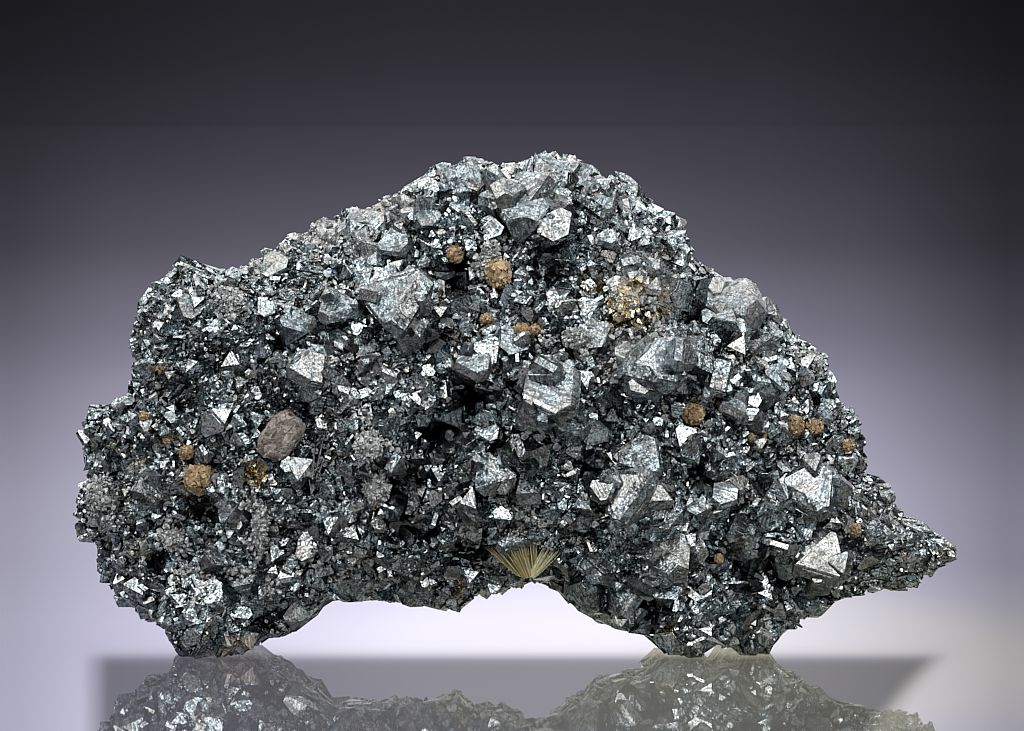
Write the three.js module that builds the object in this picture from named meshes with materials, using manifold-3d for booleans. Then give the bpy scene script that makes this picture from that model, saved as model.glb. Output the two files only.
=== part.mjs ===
// Tennantite specimen: a hand-sized plate of intergrown steel-grey crystals on massive ore, standing on
// two natural feet with an arch between them. Small balls of siderite, frosted quartz groups, a brown
// nodule, an olive spray and a few dark needles sit in hollows of the plate.
// Millimetres. X runs along the plate, Y from the crystal face to the back, Z up. The origin is on the
// ground under the middle of the plate.
import * as THREE from 'three';
import { ConvexGeometry } from 'three/addons/geometries/ConvexGeometry.js';
import { mergeVertices } from 'three/addons/utils/BufferGeometryUtils.js';
import Module from 'manifold-3d';

const wasm = await Module();
wasm.setup();

// Driving dimensions
const CENTRE = { x: -2, z: 26 }; // middle of the plate, which the outline is seen from
const SHIFT = { x: 0.15, y: 1.64 }; // brings the origin under the middle of the finished specimen
const FRONT_DEPTH = 16.5; // from the middle plane to the crystal face
const BACK_DEPTH = 15.5; // from the middle plane to the broken back
const RIM_ROUNDING = 3.2; // power of the section's rounding: 2 is an ellipse, more is squarer
const CRUST = 0.9; // the crystals stand this far outside the mass they grow from
const GAP = 0.3; // clearance round each mineral that sits in a pocket
const PLATE_DETAIL = 9; // subdivision of the ball that the plate is drawn from
const PLATE_SPREAD = 0.8; // power that crowds its corners towards the rim
const SUNFLOWER_TURN = 2.39996; // radians between neighbours in a sunflower's even pattern
const SEED_FIELD = { x: 50, z: 30 }; // half-extents that the broken planes' seeds are spread over
const GROUND_CUT = 20; // height of the block that trims the feet flat
const OUTLINE = [
  [51.6, 11.7], [48.4, 13.2], [44.4, 15.4], [43.3, 18.2], [40.3, 20.2], [39.8, 24.5], [39.2, 27.3],
  [36.6, 28.4], [35.1, 31.4], [34.8, 34.3], [31.6, 35.4], [29.7, 38.8], [26.5, 41.5], [23.0, 42.2],
  [20.4, 46.0], [18.9, 49.6], [15.2, 51.8], [12.6, 54.6], [9.0, 55.2], [3.7, 56.8], [-1.4, 55.0],
  [-5.7, 56.0], [-10.2, 54.4], [-15.3, 51.5], [-20.5, 49.2], [-27.2, 46.8], [-30.8, 43.8],
  [-34.0, 43.0], [-37.9, 44.3], [-40.9, 41.6], [-43.6, 38.8], [-44.1, 34.6], [-43.6, 29.8],
  [-48.6, 28.0], [-50.0, 24.1], [-47.9, 20.2], [-50.1, 17.3], [-48.6, 12.8], [-47.4, 8.0],
  [-44.8, 5.0], [-41.0, 3.2], [-38.4, 0.4], [-33.5, -0.6], [-29.2, 0.2], [-26.4, 1.9], [-22.0, 5.0],
  [-17.6, 6.2], [-11.6, 5.2], [-6.8, 4.8], [-3.6, 6.4], [2.8, 7.4], [6.3, 5.4], [9.6, 3.4],
  [15.4, 1.4], [19.6, -0.4], [26.8, -0.6], [29.8, 1.6], [34.2, 4.0], [40.2, 6.7], [46.6, 7.2],
  [48.0, 9.6],
];

// A repeatable number from 0 to 1 for each n
const chance = (n) => {
  const wave = Math.sin(n * 12.9898 + 4.1) * 43758.5453;
  return wave - Math.floor(wave);
};
const smooth = (t) => {
  const held = Math.min(1, Math.max(0, t));
  return held * held * (3 - 2 * held);
};
const turnOf = (x, z) => Math.atan2(z - CENTRE.z, x - CENTRE.x);

// The outline as [turn, reach] seen from the centre, in order of turn
const rimPoints = OUTLINE
  .map(([x, z]) => [turnOf(x, z), Math.hypot(x - CENTRE.x, z - CENTRE.z)])
  .sort((a, b) => a[0] - b[0]);

// How far the outline is from the centre at a turn, in straight steps between its points
function reachAt(turn) {
  const last = rimPoints.length - 1;
  const next = rimPoints.findIndex((point) => point[0] > turn);
  const after = next < 0 ? [rimPoints[0][0] + 2 * Math.PI, rimPoints[0][1]] : rimPoints[next];
  const before = next > 0
    ? rimPoints[next - 1]
    : [rimPoints[last][0] - (next === 0 ? 2 * Math.PI : 0), rimPoints[last][1]];
  const share = (turn - before[0]) / (after[0] - before[0]);
  return before[1] + share * (after[1] - before[1]) - CRUST;
}

// The plate thins towards its right tail, its crest and its left lobe
const thickness = (x, z) =>
  1 - 0.5 * smooth((x - 16) / 34) - 0.26 * smooth((z - 30) / 27) - 0.16 * smooth((-x - 24) / 26);

// Rounded swellings of the crystal face: [x, z, radius, height]
const KNOBS = [
  [-37.0, 39.0, 6.4, 3.0], [-41.0, 33.0, 5.4, 2.4], [-31.0, 36.6, 5.2, 2.2], [-46.3, 24.2, 5.2, 3.0],
  [-46.0, 15.6, 5.6, 3.0], [-39.5, 19.8, 4.8, 2.4], [-41.5, 8.6, 5.6, 2.6], [-34.0, 6.0, 6.2, 3.4],
  [-25.4, 6.6, 4.8, 3.0], [-32.4, 27.6, 5.2, 2.4], [-23.4, 32.2, 4.6, 3.0], [-27.6, 18.6, 5.2, 2.6],
  [-20.5, 13.6, 5.6, 2.6], [-16.0, 23.4, 5.6, 3.4], [-18.6, 40.6, 5.2, 2.0], [-12.4, 39.0, 5.6, 3.2],
  [-12.6, 9.0, 5.2, 2.4], [-10.4, 28.6, 3.8, 1.8], [-6.2, 50.4, 5.8, 2.6], [2.2, 50.6, 6.6, 3.2],
  [11.2, 49.8, 5.6, 2.6], [-3.8, 33.4, 4.6, 3.0], [-3.2, 18.6, 6.2, 3.6], [5.2, 28.8, 6.4, 3.4],
  [14.8, 33.4, 6.4, 3.6], [14.6, 42.4, 5.8, 2.2], [24.4, 38.2, 5.6, 2.8], [14.4, 17.6, 6.0, 3.6],
  [2.6, 12.8, 4.8, 2.0], [16.6, 10.2, 5.4, 3.2], [22.4, 22.4, 5.4, 2.4], [26.6, 31.0, 5.6, 2.4],
  [33.0, 18.4, 5.2, 3.2], [33.0, 10.0, 5.4, 3.2], [26.6, 5.2, 5.6, 3.0], [34.0, 29.6, 4.6, 2.2],
  [37.8, 22.8, 4.2, 2.0], [42.0, 13.0, 4.2, 1.6], [19.0, 2.8, 5.0, 3.0],
];
// Hollows between them: [x, z, radius, depth]
const HOLLOWS = [
  [-6.6, 42.2, 3.8, 6.0], [-4.8, 29.4, 3.6, 6.0], [-8.2, 24.8, 3.8, 7.0], [-12.2, 19.6, 3.8, 6.0],
  [-12.4, 14.8, 3.6, 6.0], [-36.2, 28.4, 3.2, 3.6], [15.6, 5.2, 3.4, 5.0], [25.8, 9.6, 3.2, 5.0],
  [3.6, 43.4, 3.4, 4.6], [-4.6, 11.6, 3.2, 4.0], [20.6, 38.6, 3.0, 3.0], [-23.6, 27.2, 2.8, 3.4],
];
// Narrow dark holes: [x, z, radius]
const HOLES = [
  [-34.2, 16.4, 1.7], [-40.2, 10.8, 1.7], [-9.2, 35.4, 1.7], [3.4, 24.2, 1.8], [-1.6, 24.0, 1.7],
  [29.6, 9.2, 1.8], [8.4, 21.4, 1.7], [21.0, 20.4, 1.7], [5.6, 8.8, 1.9], [-26.0, 35.2, 1.6],
];

// A round mound of height 1 over radius 1, level at its top and foot
const mound = (distance) => (distance < 1 ? (1 - distance * distance) ** 2 : 0);
const moundSum = (mounds, x, z) =>
  mounds.reduce((sum, [cx, cz, radius, height]) => sum + height * mound(Math.hypot(x - cx, z - cz) / radius), 0);

// Broken planes: every place takes the tilted plane of its nearest seed, so the planes meet in ledges
function brokenPlanes(x, z, { count, rise, slope, first }) {
  let nearest = { distance: Infinity, value: 0 };
  for (let n = 0; n < count; n += 1) {
    const seed = first + n;
    const reach = Math.sqrt((n + 0.5) / count);
    const dx = x - CENTRE.x - SEED_FIELD.x * reach * Math.cos(n * SUNFLOWER_TURN);
    const dz = z - CENTRE.z - SEED_FIELD.z * reach * Math.sin(n * SUNFLOWER_TURN);
    const distance = Math.hypot(dx, dz);
    if (distance < nearest.distance) {
      const tilt = slope * (dx * (chance(seed) - 0.5) + dz * (chance(seed + 0.4) - 0.5));
      nearest = { distance, value: rise * (chance(seed + 0.7) - 0.5) + tilt };
    }
  }
  return nearest.value;
}

// How far the crystal face and the broken back stand out from their plain section
const frontRelief = (x, z) => moundSum(KNOBS, x, z) - moundSum(HOLLOWS, x, z) - 1.2
  + brokenPlanes(x, z, { count: 110, rise: 1.6, slope: 0.4, first: 3000 });
const backRelief = (x, z) => 1.2 * Math.sin(0.16 * x - 0.12 * z + 2)
  + brokenPlanes(x, z, { count: 34, rise: 3.4, slope: 0.5, first: 4000 });

// Depth of the mass at a place in its outline, from the superellipse section: side -1 front, 1 back
function depthAt(x, z, side) {
  const share = Math.min(1, Math.hypot(x - CENTRE.x, z - CENTRE.z) / reachAt(turnOf(x, z)));
  const full = (side < 0 ? FRONT_DEPTH : BACK_DEPTH) * thickness(x, z);
  const relief = side < 0 ? frontRelief(x, z) : backRelief(x, z);
  return side * (full + relief) * Math.sqrt(1 - share ** RIM_ROUNDING);
}

// A geometry's closed solid, its shared corners merged
function solidOf(geometry) {
  const bare = new THREE.BufferGeometry();
  const source = geometry.index ? geometry.toNonIndexed() : geometry;
  bare.setAttribute('position', source.getAttribute('position'));
  const merged = mergeVertices(bare, 1e-4);
  return new wasm.Manifold(new wasm.Mesh({
    numProp: 3,
    vertProperties: new Float32Array(merged.attributes.position.array),
    triVerts: new Uint32Array(merged.index.array),
  }));
}

// The plate: a ball whose middle is drawn out to the outline and whose poles are the two faces
function plateSolid() {
  const ball = bareBall(1, PLATE_DETAIL);
  const place = ball.getAttribute('position');
  for (let i = 0; i < place.count; i += 1) {
    const fromPole = Math.acos(Math.min(1, Math.abs(place.getY(i)))) / (Math.PI / 2);
    const turn = Math.atan2(place.getZ(i), place.getX(i));
    const reach = reachAt(turn) * fromPole ** PLATE_SPREAD;
    const x = CENTRE.x + reach * Math.cos(turn);
    const z = CENTRE.z + reach * Math.sin(turn);
    place.setXYZ(i, x, depthAt(x, z, place.getY(i) > 0 ? 1 : -1), z);
  }
  return solidOf(ball);
}

// A rough lump or a pit: a ball with uneven corners
function lumpGeometry(radius, seed, detail = 0) {
  const ball = mergeVertices(bareBall(radius, detail), 1e-4);
  const place = ball.getAttribute('position');
  for (let i = 0; i < place.count; i += 1) {
    const swell = 0.86 + 0.28 * chance(seed * 31 + i);
    place.setXYZ(i, place.getX(i) * swell, place.getY(i) * swell, place.getZ(i) * swell);
  }
  return ball;
}
function bareBall(radius, detail) {
  const ball = new THREE.IcosahedronGeometry(radius, detail);
  ball.deleteAttribute('normal');
  ball.deleteAttribute('uv');
  return ball;
}

// Crystal faces: the tetrahedron, the opposite tetrahedron and, on a full one, the cube, each
// [direction, distance]
const signs = [[1, 1, 1], [1, -1, -1], [-1, 1, -1], [-1, -1, 1]];
const axes = [[1, 0, 0], [-1, 0, 0], [0, 1, 0], [0, -1, 0], [0, 0, 1], [0, 0, -1]];
function crystalFaces(seed, full) {
  const uneven = (n) => 0.9 + 0.22 * chance(seed * 17 + n);
  return [
    ...signs.map((s, n) => [s, uneven(n)]),
    ...signs.map((s, n) => [s.map((v) => -v), (full ? 1.62 : 1.4) * uneven(n + 4)]),
    ...(full ? axes.map((s, n) => [s, 1.3 * uneven(n + 8)]) : []),
  ];
}

// A crystal is the space inside all its faces: its corners are where three faces meet inside the rest
function crystalGeometry(seed, full) {
  const planes = crystalFaces(seed, full).map(([s, d]) =>
    new THREE.Plane(new THREE.Vector3(...s).normalize(), -d));
  const corners = [];
  planes.forEach((a, i) => planes.slice(i + 1).forEach((b, j) => planes.slice(i + j + 2).forEach((c) => {
    const bc = new THREE.Vector3().crossVectors(b.normal, c.normal);
    const spread = a.normal.dot(bc);
    if (Math.abs(spread) < 1e-6) return;
    const corner = bc.multiplyScalar(-a.constant)
      .addScaledVector(new THREE.Vector3().crossVectors(c.normal, a.normal), -b.constant)
      .addScaledVector(new THREE.Vector3().crossVectors(a.normal, b.normal), -c.constant)
      .divideScalar(spread);
    if (planes.every((p) => p.distanceToPoint(corner) < 1e-7)) corners.push(corner);
  })));
  return new ConvexGeometry(corners);
}

// Turns a crystal so that a tetrahedron face looks out at [side, up] degrees, then spins it about that
function crystalTurn(side, up, spin) {
  const a = THREE.MathUtils.degToRad(side);
  const e = THREE.MathUtils.degToRad(up);
  const look = new THREE.Vector3(Math.sin(a) * Math.cos(e), -Math.cos(a) * Math.cos(e), Math.sin(e));
  const face = new THREE.Vector3(1, 1, 1).normalize();
  const aim = new THREE.Quaternion().setFromUnitVectors(face, look);
  return new THREE.Quaternion()
    .setFromAxisAngle(look, THREE.MathUtils.degToRad(spin))
    .multiply(aim);
}

const CRYSTAL_SPAN = 1.55; // a crystal's half-width in units of its nearest face
function crystalSolid([x, y, z], size, [side, up, spin], seed, full = false) {
  const geometry = crystalGeometry(seed, full);
  const scale = size / CRYSTAL_SPAN;
  geometry.applyMatrix4(new THREE.Matrix4().compose(
    new THREE.Vector3(),
    crystalTurn(side, up, spin),
    new THREE.Vector3(scale, scale, scale),
  ));
  geometry.translate(x, y, z);
  return solidOf(geometry);
}

// Lumps that the feet rest on, and the two that end the tail: [x, y, z, radius]
const LUMPS = [
  [-34.4, -8.6, 4.2, 5.2], [-31.4, 8.2, 4.4, 5.6], [-37.2, 1.4, 4.4, 5.0], [-28.6, -3.6, 4.6, 4.8],
  [-25.2, 3.0, 6.6, 4.4],
  [18.8, -8.0, 4.4, 5.2], [26.6, -5.6, 4.2, 4.8], [20.0, 7.8, 4.6, 5.6], [26.8, 4.0, 4.2, 5.0],
  [44.4, -0.6, 12.0, 3.4], [48.0, 0.4, 11.0, 2.3],
];

// The large crystals: [x, z, half-width, how far its middle stands out, side, up, spin]
const LARGE_CRYSTALS = [
  [0.4, 49.8, 4.3, 0.4, 8, 42, 12], [3.6, 53.2, 3.5, -1.2, -20, 30, 70], [-5.6, 53.3, 2.7, 0.8, -6, 24, 62],
  [-8.6, 54.0, 2.0, 0.0, -30, 40, 20], [7.6, 53.0, 2.4, 0.6, 24, 34, 95], [9.6, 50.6, 2.5, 0.8, 10, 44, 150],
  [13.0, 52.4, 2.6, -0.4, 40, 26, 33], [-13.2, 46.0, 2.3, 0.6, -14, 30, 48], [-12.8, 39.4, 4.2, 0.6, -24, 38, 110],
  [-19.6, 38.8, 2.6, 1.0, -8, 46, 80], [-26.6, 43.4, 2.0, 0.2, -26, 34, 5], [-22.6, 32.2, 2.8, 0.8, -28, 20, 130],
  [-36.6, 39.2, 2.1, 0.4, 18, 40, 66], [-25.0, 37.0, 2.0, 0.6, 30, 36, 24], [-4.6, 32.8, 2.3, 0.9, 6, 40, 160],
  [4.4, 29.6, 4.0, 0.8, -12, 34, 28], [6.0, 26.2, 2.2, 1.0, 30, 42, 75], [15.4, 32.6, 3.9, 0.7, -32, 26, 14],
  [-2.6, 20.4, 2.8, 1.0, 26, 30, 118], [14.0, 22.6, 2.7, 1.0, -8, 38, 52], [12.8, 18.6, 3.6, 0.8, -34, 22, 84],
  [17.4, 11.2, 3.1, 1.0, -20, 30, 140], [9.4, 10.0, 2.1, 0.9, 14, 40, 31], [12.6, 6.6, 2.7, 0.5, -26, 18, 99],
  [33.2, 18.6, 3.7, 1.1, -18, 26, 22], [34.2, 10.6, 3.4, 1.2, 10, 32, 63], [31.8, 5.4, 2.3, 0.6, 22, 38, 121],
  [24.4, 27.8, 2.1, 0.8, 20, 48, 45], [27.6, 34.6, 2.4, 0.4, -16, 36, 91], [24.6, 38.8, 4.4, -0.8, 4, 58, 37],
  [22.4, 31.4, 2.4, 0.5, -40, 20, 101], [-40.8, 18.4, 2.0, 0.7, 36, 28, 71], [-24.2, 21.0, 2.2, 0.7, 12, 30, 143],
  [-30.2, 8.6, 2.0, 0.8, -12, 40, 127], [22.0, 5.2, 2.0, 0.7, -30, 36, 77], [26.4, 2.6, 2.3, 0.6, 8, 44, 10],
  [0.4, 23.0, 2.1, 0.7, -28, 24, 36], [0.0, 13.8, 2.6, 0.6, 10, 16, 111], [-0.8, 35.2, 2.0, 0.4, 30, 26, 67],
  [8.8, 36.0, 2.0, 0.2, 0, 20, 90],
];
// The gaps are filled with mid-sized crystals, laid out in a sunflower pattern
const FRONT_CRYSTALS = 14;
const BACK_CRYSTALS = 8;
const RIM_CRYSTALS = 18;

const largeCrystals = LARGE_CRYSTALS.map(([x, z, size, proud, ...look], n) =>
  crystalSolid([x, depthAt(x, z, -1) - proud, z], size, look, n + 1, size > 2.5));

function facingCrystals(count, side, smallest, spread) {
  return Array.from({ length: count }, (_, n) => {
    const turn = ((n * SUNFLOWER_TURN + Math.PI) % (2 * Math.PI)) - Math.PI;
    const reach = 0.93 * reachAt(turn) * Math.sqrt((n + 0.5) / count);
    const x = CENTRE.x + reach * Math.cos(turn);
    const z = CENTRE.z + reach * Math.sin(turn);
    const seed = 100 * (side + 3) + n;
    const size = smallest + spread * chance(seed);
    const look = [180 * (side > 0) + 90 * (chance(seed + 0.3) - 0.5), 90 * chance(seed + 0.6) - 30, 360 * chance(seed + 0.9)];
    return crystalSolid([x, depthAt(x, z, side) + 0.2 * side * size, z], size, look, seed);
  });
}

function rimCrystals() {
  return Array.from({ length: RIM_CRYSTALS }, (_, n) => {
    const seed = 900 + n;
    const turn = (2 * Math.PI * (n + 0.6 * chance(seed))) / RIM_CRYSTALS - Math.PI;
    const size = 1.4 + 1.2 * chance(seed + 0.3);
    const reach = reachAt(turn) - 0.55 * size;
    const y = 14 * (chance(seed + 0.6) - 0.5);
    const look = [THREE.MathUtils.radToDeg(turn) - 90, 40 * chance(seed + 0.2), 360 * chance(seed + 0.9)];
    const place = [CENTRE.x + reach * Math.cos(turn), y, CENTRE.z + reach * Math.sin(turn)];
    return crystalSolid(place, size, look, seed);
  });
}

// Siderite balls that sit on the crystal face: [x, z, radius]
const SIDERITE_BALLS = [
  [-1.9, 43.0, 1.6], [-6.6, 45.1, 1.1], [0.6, 36.5, 1.2], [2.2, 36.8, 0.7], [10.2, 36.9, 0.9],
  [-3.2, 38.0, 0.7], [19.8, 27.4, 1.3], [31.3, 25.9, 1.15], [33.5, 25.7, 1.1], [37.4, 23.5, 0.85],
  [27.8, 25.0, 0.6], [26.3, 24.7, 0.5], [38.1, 14.1, 0.8], [22.7, 11.2, 0.6], [-35.1, 20.1, 1.9],
  [-31.3, 15.2, 0.65], [-41.6, 26.9, 0.7], [-38.8, 24.4, 0.65], [-36.6, 23.0, 0.9], [36.5, 17.9, 0.65],
];
// Frosted quartz groups: [x, z, half-width, half-height, lean in degrees]
const QUARTZ_GROUPS = [
  [-2.7, 45.4, 1.1, 1.3, 10], [-38.1, 13.3, 1.5, 1.4, 0], [-28.3, 15.2, 1.0, 2.9, -12],
  [-31.1, 39.9, 1.2, 1.1, 0], [6.8, 36.0, 1.7, 1.2, 0], [-16.2, 24.2, 1.7, 2.0, 15],
  [-15.4, 19.2, 1.7, 1.9, -10], [33.8, 32.9, 1.0, 0.9, 0], [-17.0, 8.3, 1.8, 1.0, 8],
  [-47.0, 18.4, 1.4, 1.8, 10],
];
const NODULE = { x: -26.0, z: 25.0, length: 2.9, width: 2.05, lean: 36 };
const SPRAY = { x: 1.6, z: 8.2, height: 4.6 };
const NEEDLES = { x: -22.6, z: 18.6, length: 7.4, width: 0.34 };

// A named mesh of a solid
const solids = [];
function addPart(name, solid, colour, roughness, metalness) {
  const mesh = solid.getMesh();
  const corners = new Float32Array(mesh.numVert * 3);
  for (let i = 0; i < mesh.numVert; i += 1) {
    corners.set(mesh.vertProperties.subarray(i * mesh.numProp, i * mesh.numProp + 3), i * 3);
  }
  const geometry = new THREE.BufferGeometry();
  geometry.setAttribute('position', new THREE.BufferAttribute(corners, 3));
  geometry.setIndex(new THREE.BufferAttribute(mesh.triVerts, 1));
  const part = new THREE.Mesh(geometry, new THREE.MeshStandardMaterial({ color: colour, roughness, metalness }));
  part.name = name;
  solids.push(part);
}

// A rounded mineral body scaled, leaned in the plane of the face, and set half into the face.
// Grown by GAP it is the tool that cuts its pocket.
function setIn(geometry, x, z, sink, lean = 0) {
  geometry.rotateY(-THREE.MathUtils.degToRad(lean));
  geometry.translate(x, depthAt(x, z, -1) + sink, z);
  return solidOf(geometry);
}
function sideriteBall([x, z, radius], n, grow) {
  const ball = lumpGeometry(1, 400 + n, radius > 1.5 ? 1 : 0);
  ball.scale(radius + grow, radius + grow, radius + grow);
  return setIn(ball, x, z, -0.45 * radius);
}
function quartzGroup([x, z, width, height, lean], n, grow) {
  const lump = lumpGeometry(1, 500 + n);
  lump.scale(width + grow, 1.2 + grow, height + grow);
  return setIn(lump, x, z, -0.5, lean);
}
function nodule(grow) {
  const barrel = new THREE.CapsuleGeometry(NODULE.width + grow, 2 * (NODULE.length - NODULE.width), 3, 9);
  barrel.rotateX(Math.PI / 2);
  return setIn(barrel, NODULE.x, NODULE.z, -0.9, NODULE.lean);
}

// The spray: two fans of blades that spread upwards from one root
function spray(grow) {
  const blades = [[-42, 0.98, 1.5], [-16, 0.86, 1.5], [30, 1.0, 1.2]].map(([lean, length, width], n) => {
    const blade = new THREE.ConeGeometry(width + grow, SPRAY.height * length + grow, 7);
    blade.rotateX(-Math.PI / 2);
    blade.scale(1, 0.55, 1);
    blade.translate(0, 0, -(SPRAY.height * length) / 2);
    blade.rotateX(Math.PI);
    blade.rotateY(THREE.MathUtils.degToRad(lean));
    blade.translate(SPRAY.x + 0.3 * n, depthAt(SPRAY.x, SPRAY.z + SPRAY.height / 2, -1) - 0.2, SPRAY.z);
    return solidOf(blade);
  });
  return wasm.Manifold.union(blades);
}

// The needles: three slender prisms that cross near their feet
function needles(grow) {
  const prisms = [[12, 1], [4, 0.9], [20, 0.78]].map(([lean, length], n) => {
    const prism = new THREE.CylinderGeometry(
      NEEDLES.width / 2 + grow, NEEDLES.width / 2 + grow, NEEDLES.length * length + grow, 4,
    );
    prism.rotateX(Math.PI / 2);
    prism.translate(0, 0, (NEEDLES.length * length) / 2);
    prism.rotateY(THREE.MathUtils.degToRad(lean));
    prism.translate(NEEDLES.x - 0.1 * n, depthAt(NEEDLES.x, NEEDLES.z + NEEDLES.length / 2, -1) - 1.2, NEEDLES.z);
    return solidOf(prism);
  });
  return wasm.Manifold.union(prisms);
}

// The mass: plate, lumps and crystals joined, holes and pockets cut, feet trimmed on the ground
const lumps = LUMPS.map(([x, y, z, radius], n) => {
  const lump = lumpGeometry(radius, 70 + n);
  lump.translate(x, y, z);
  return solidOf(lump);
});
const holes = HOLES.map(([x, z, radius], n) => {
  const hole = lumpGeometry(radius, 200 + n);
  hole.scale(1, 2.4, 1);
  hole.translate(x, depthAt(x, z, -1) + 0.4, z);
  return solidOf(hole);
});
const ground = new THREE.BoxGeometry(140, 80, GROUND_CUT);
ground.translate(0, 0, -GROUND_CUT / 2);

const balls = SIDERITE_BALLS.map((ball, n) => sideriteBall(ball, n, 0));
const quartz = QUARTZ_GROUPS.map((group, n) => quartzGroup(group, n, 0));
const pockets = [
  ...SIDERITE_BALLS.map((ball, n) => sideriteBall(ball, n, GAP)),
  ...QUARTZ_GROUPS.map((group, n) => quartzGroup(group, n, GAP)),
  nodule(GAP),
  spray(GAP),
  needles(GAP),
];
const mass = wasm.Manifold.union([plateSolid(), ...lumps])
  .subtract(wasm.Manifold.union(holes))
  .add(wasm.Manifold.union([
    ...largeCrystals,
    ...facingCrystals(FRONT_CRYSTALS, -1, 1.3, 1.3),
    ...facingCrystals(BACK_CRYSTALS, 1, 1.6, 1.8),
    ...rimCrystals(),
  ]))
  .subtract(wasm.Manifold.union(pockets))
  .subtract(solidOf(ground));

// Crumbs that the hollows cut loose are dropped
const [wholeMass] = mass.decompose().sort((a, b) => b.volume() - a.volume());

addPart('tennantite_mass', wholeMass, 0x6f7478, 0.3, 0.9);
balls.forEach((ball, n) => addPart(`siderite_ball_${String(n + 1).padStart(2, '0')}`, ball, 0xa98253, 0.7, 0));
quartz.forEach((group, n) => addPart(`quartz_group_${String(n + 1).padStart(2, '0')}`, group, 0xb7b1b4, 0.5, 0));
addPart('brown_nodule', nodule(0), 0x7d6a60, 0.7, 0);
addPart('olive_spray', spray(0), 0x9a8e50, 0.5, 0);
addPart('dark_needles', needles(0), 0x5a5a60, 0.3, 0.8);

const specimen = new THREE.Group();
specimen.add(...solids);
specimen.position.set(SHIFT.x, SHIFT.y, 0);
export default specimen;
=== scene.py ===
import itertools
import math

import bpy
import numpy as np
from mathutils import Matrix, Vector


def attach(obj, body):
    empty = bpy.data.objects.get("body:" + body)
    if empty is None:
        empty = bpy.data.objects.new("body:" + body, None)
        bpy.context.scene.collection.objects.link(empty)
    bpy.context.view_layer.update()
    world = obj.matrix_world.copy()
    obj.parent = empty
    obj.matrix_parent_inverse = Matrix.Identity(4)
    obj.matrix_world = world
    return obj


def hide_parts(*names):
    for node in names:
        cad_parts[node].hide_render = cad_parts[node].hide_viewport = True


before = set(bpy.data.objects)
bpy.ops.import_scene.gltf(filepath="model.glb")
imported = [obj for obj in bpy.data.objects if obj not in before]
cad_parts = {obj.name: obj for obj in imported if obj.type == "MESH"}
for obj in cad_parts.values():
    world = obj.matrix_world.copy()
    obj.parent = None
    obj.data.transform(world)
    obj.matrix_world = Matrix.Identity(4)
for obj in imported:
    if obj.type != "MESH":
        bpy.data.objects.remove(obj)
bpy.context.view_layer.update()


# The table: a pale polished sheet that mirrors what stands on it, and a dim lilac room behind it.
# The sheet's glow is painted light: emission that stands in for the lamps' pool of light, brightest round the
# specimen, with a painted shadow that darkens it in a strip just in front of the specimen.
MM = 0.001
TABLE_HALF = 60.0
SHEET_STEPS = [(0.0, 0.122), (0.065, 0.125), (0.174, 0.135), (0.31, 0.13), (0.454, 0.13), (0.528, 0.108),
               (0.6, 0.088),
               (0.6875, 0.062), (0.815, 0.036), (0.868, 0.024), (0.924, 0.0135), (0.97, 0.006),
               (0.985, 0.001)]
FAN_START = 0.8
FAN_STEPS = [(0.0, 0.25), (0.149, 0.43), (0.182, 0.59), (0.218, 0.75), (0.316, 0.91), (0.421, 1.0),
             (0.576, 1.0),
             (0.682, 0.75), (0.745, 0.61), (0.801, 0.35), (0.846, 0.18), (1.0, 0.10)]
FAN_STRENGTH = 1.6
POOL_ACROSS = 3.0
POOL_MIDDLE = 0.02
POOL_FAR = 0.2
POOL_STEPS = [(0.0, 0.16), (0.25, 0.15), (0.5, 0.12), (0.7, 0.04), (1.0, 0.0)]
POOL_TINT = (1.0, 1.0, 0.3)
LILAC = (1.0, 0.965, 1.25)
SHADE_DEPTH = 0.72
SHEET_BLACK = (0.05, 0.05, 0.055, 1.0)


def node_of(tree, kind, values=(), **settings):
    """A shader node of that kind. values are (socket, constant) pairs and settings are its own properties."""
    made = tree.nodes.new("ShaderNode" + kind)
    for name, setting in settings.items():
        setattr(made, name, setting)
    for name, value in values:
        made.inputs[name].default_value = value
    return made


def reckon(tree, operation, first, second=0.5, third=0.0, clamp=False):
    """A sum on two or three numbers, each a socket or a constant; gives the socket with its result."""
    made = node_of(tree, "Math", operation=operation, use_clamp=clamp)
    for place, value in enumerate((first, second, third)):
        if isinstance(value, (int, float)):
            made.inputs[place].default_value = value
        else:
            tree.links.new(value, made.inputs[place])
    return made.outputs[0]


def ramp_of(tree, factor, steps, interpolation="LINEAR"):
    """A colour ramp fed by factor. steps are (position, grey or colour) pairs."""
    made = node_of(tree, "ValToRGB")
    made.color_ramp.interpolation = interpolation
    marks = made.color_ramp.elements
    while len(marks) < len(steps):
        marks.new(0.5)
    for mark, (position, value) in zip(marks, steps):
        mark.position = position
        mark.color = (*value, 1.0) if isinstance(value, tuple) else (value, value, value, 1.0)
    tree.links.new(factor, made.inputs[0])
    return made.outputs[0]


def fresh_material(name):
    """An empty node material: its tree and the shader that its surface is wired to."""
    made = bpy.data.materials.new(name)
    made.use_nodes = True
    tree = made.node_tree
    return made, tree, tree.nodes["Principled BSDF"]


table_paint, tree, shader = fresh_material("polished_table_painted_glow")
place = node_of(tree, "TexCoord").outputs["Object"]
apart = node_of(tree, "SeparateXYZ")
tree.links.new(place, apart.inputs[0])
far = reckon(tree, "ABSOLUTE", apart.outputs["Y"])
sheet = ramp_of(tree, reckon(tree, "DIVIDE", far, reckon(tree, "ADD", far, 1.0)), SHEET_STEPS)
fan_length = reckon(tree, "ADD", reckon(tree, "ABSOLUTE", reckon(tree, "ADD", apart.outputs["Y"], 0.15)),
                    FAN_START - 0.15)
sideways = reckon(tree, "MULTIPLY_ADD", reckon(tree, "DIVIDE", apart.outputs["X"], fan_length), 5.0, 0.5)
fan = reckon(tree, "MULTIPLY", ramp_of(tree, sideways, FAN_STEPS), FAN_STRENGTH)
across = reckon(tree, "MULTIPLY", reckon(tree, "SUBTRACT", apart.outputs["X"], POOL_MIDDLE), POOL_ACROSS)
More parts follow.
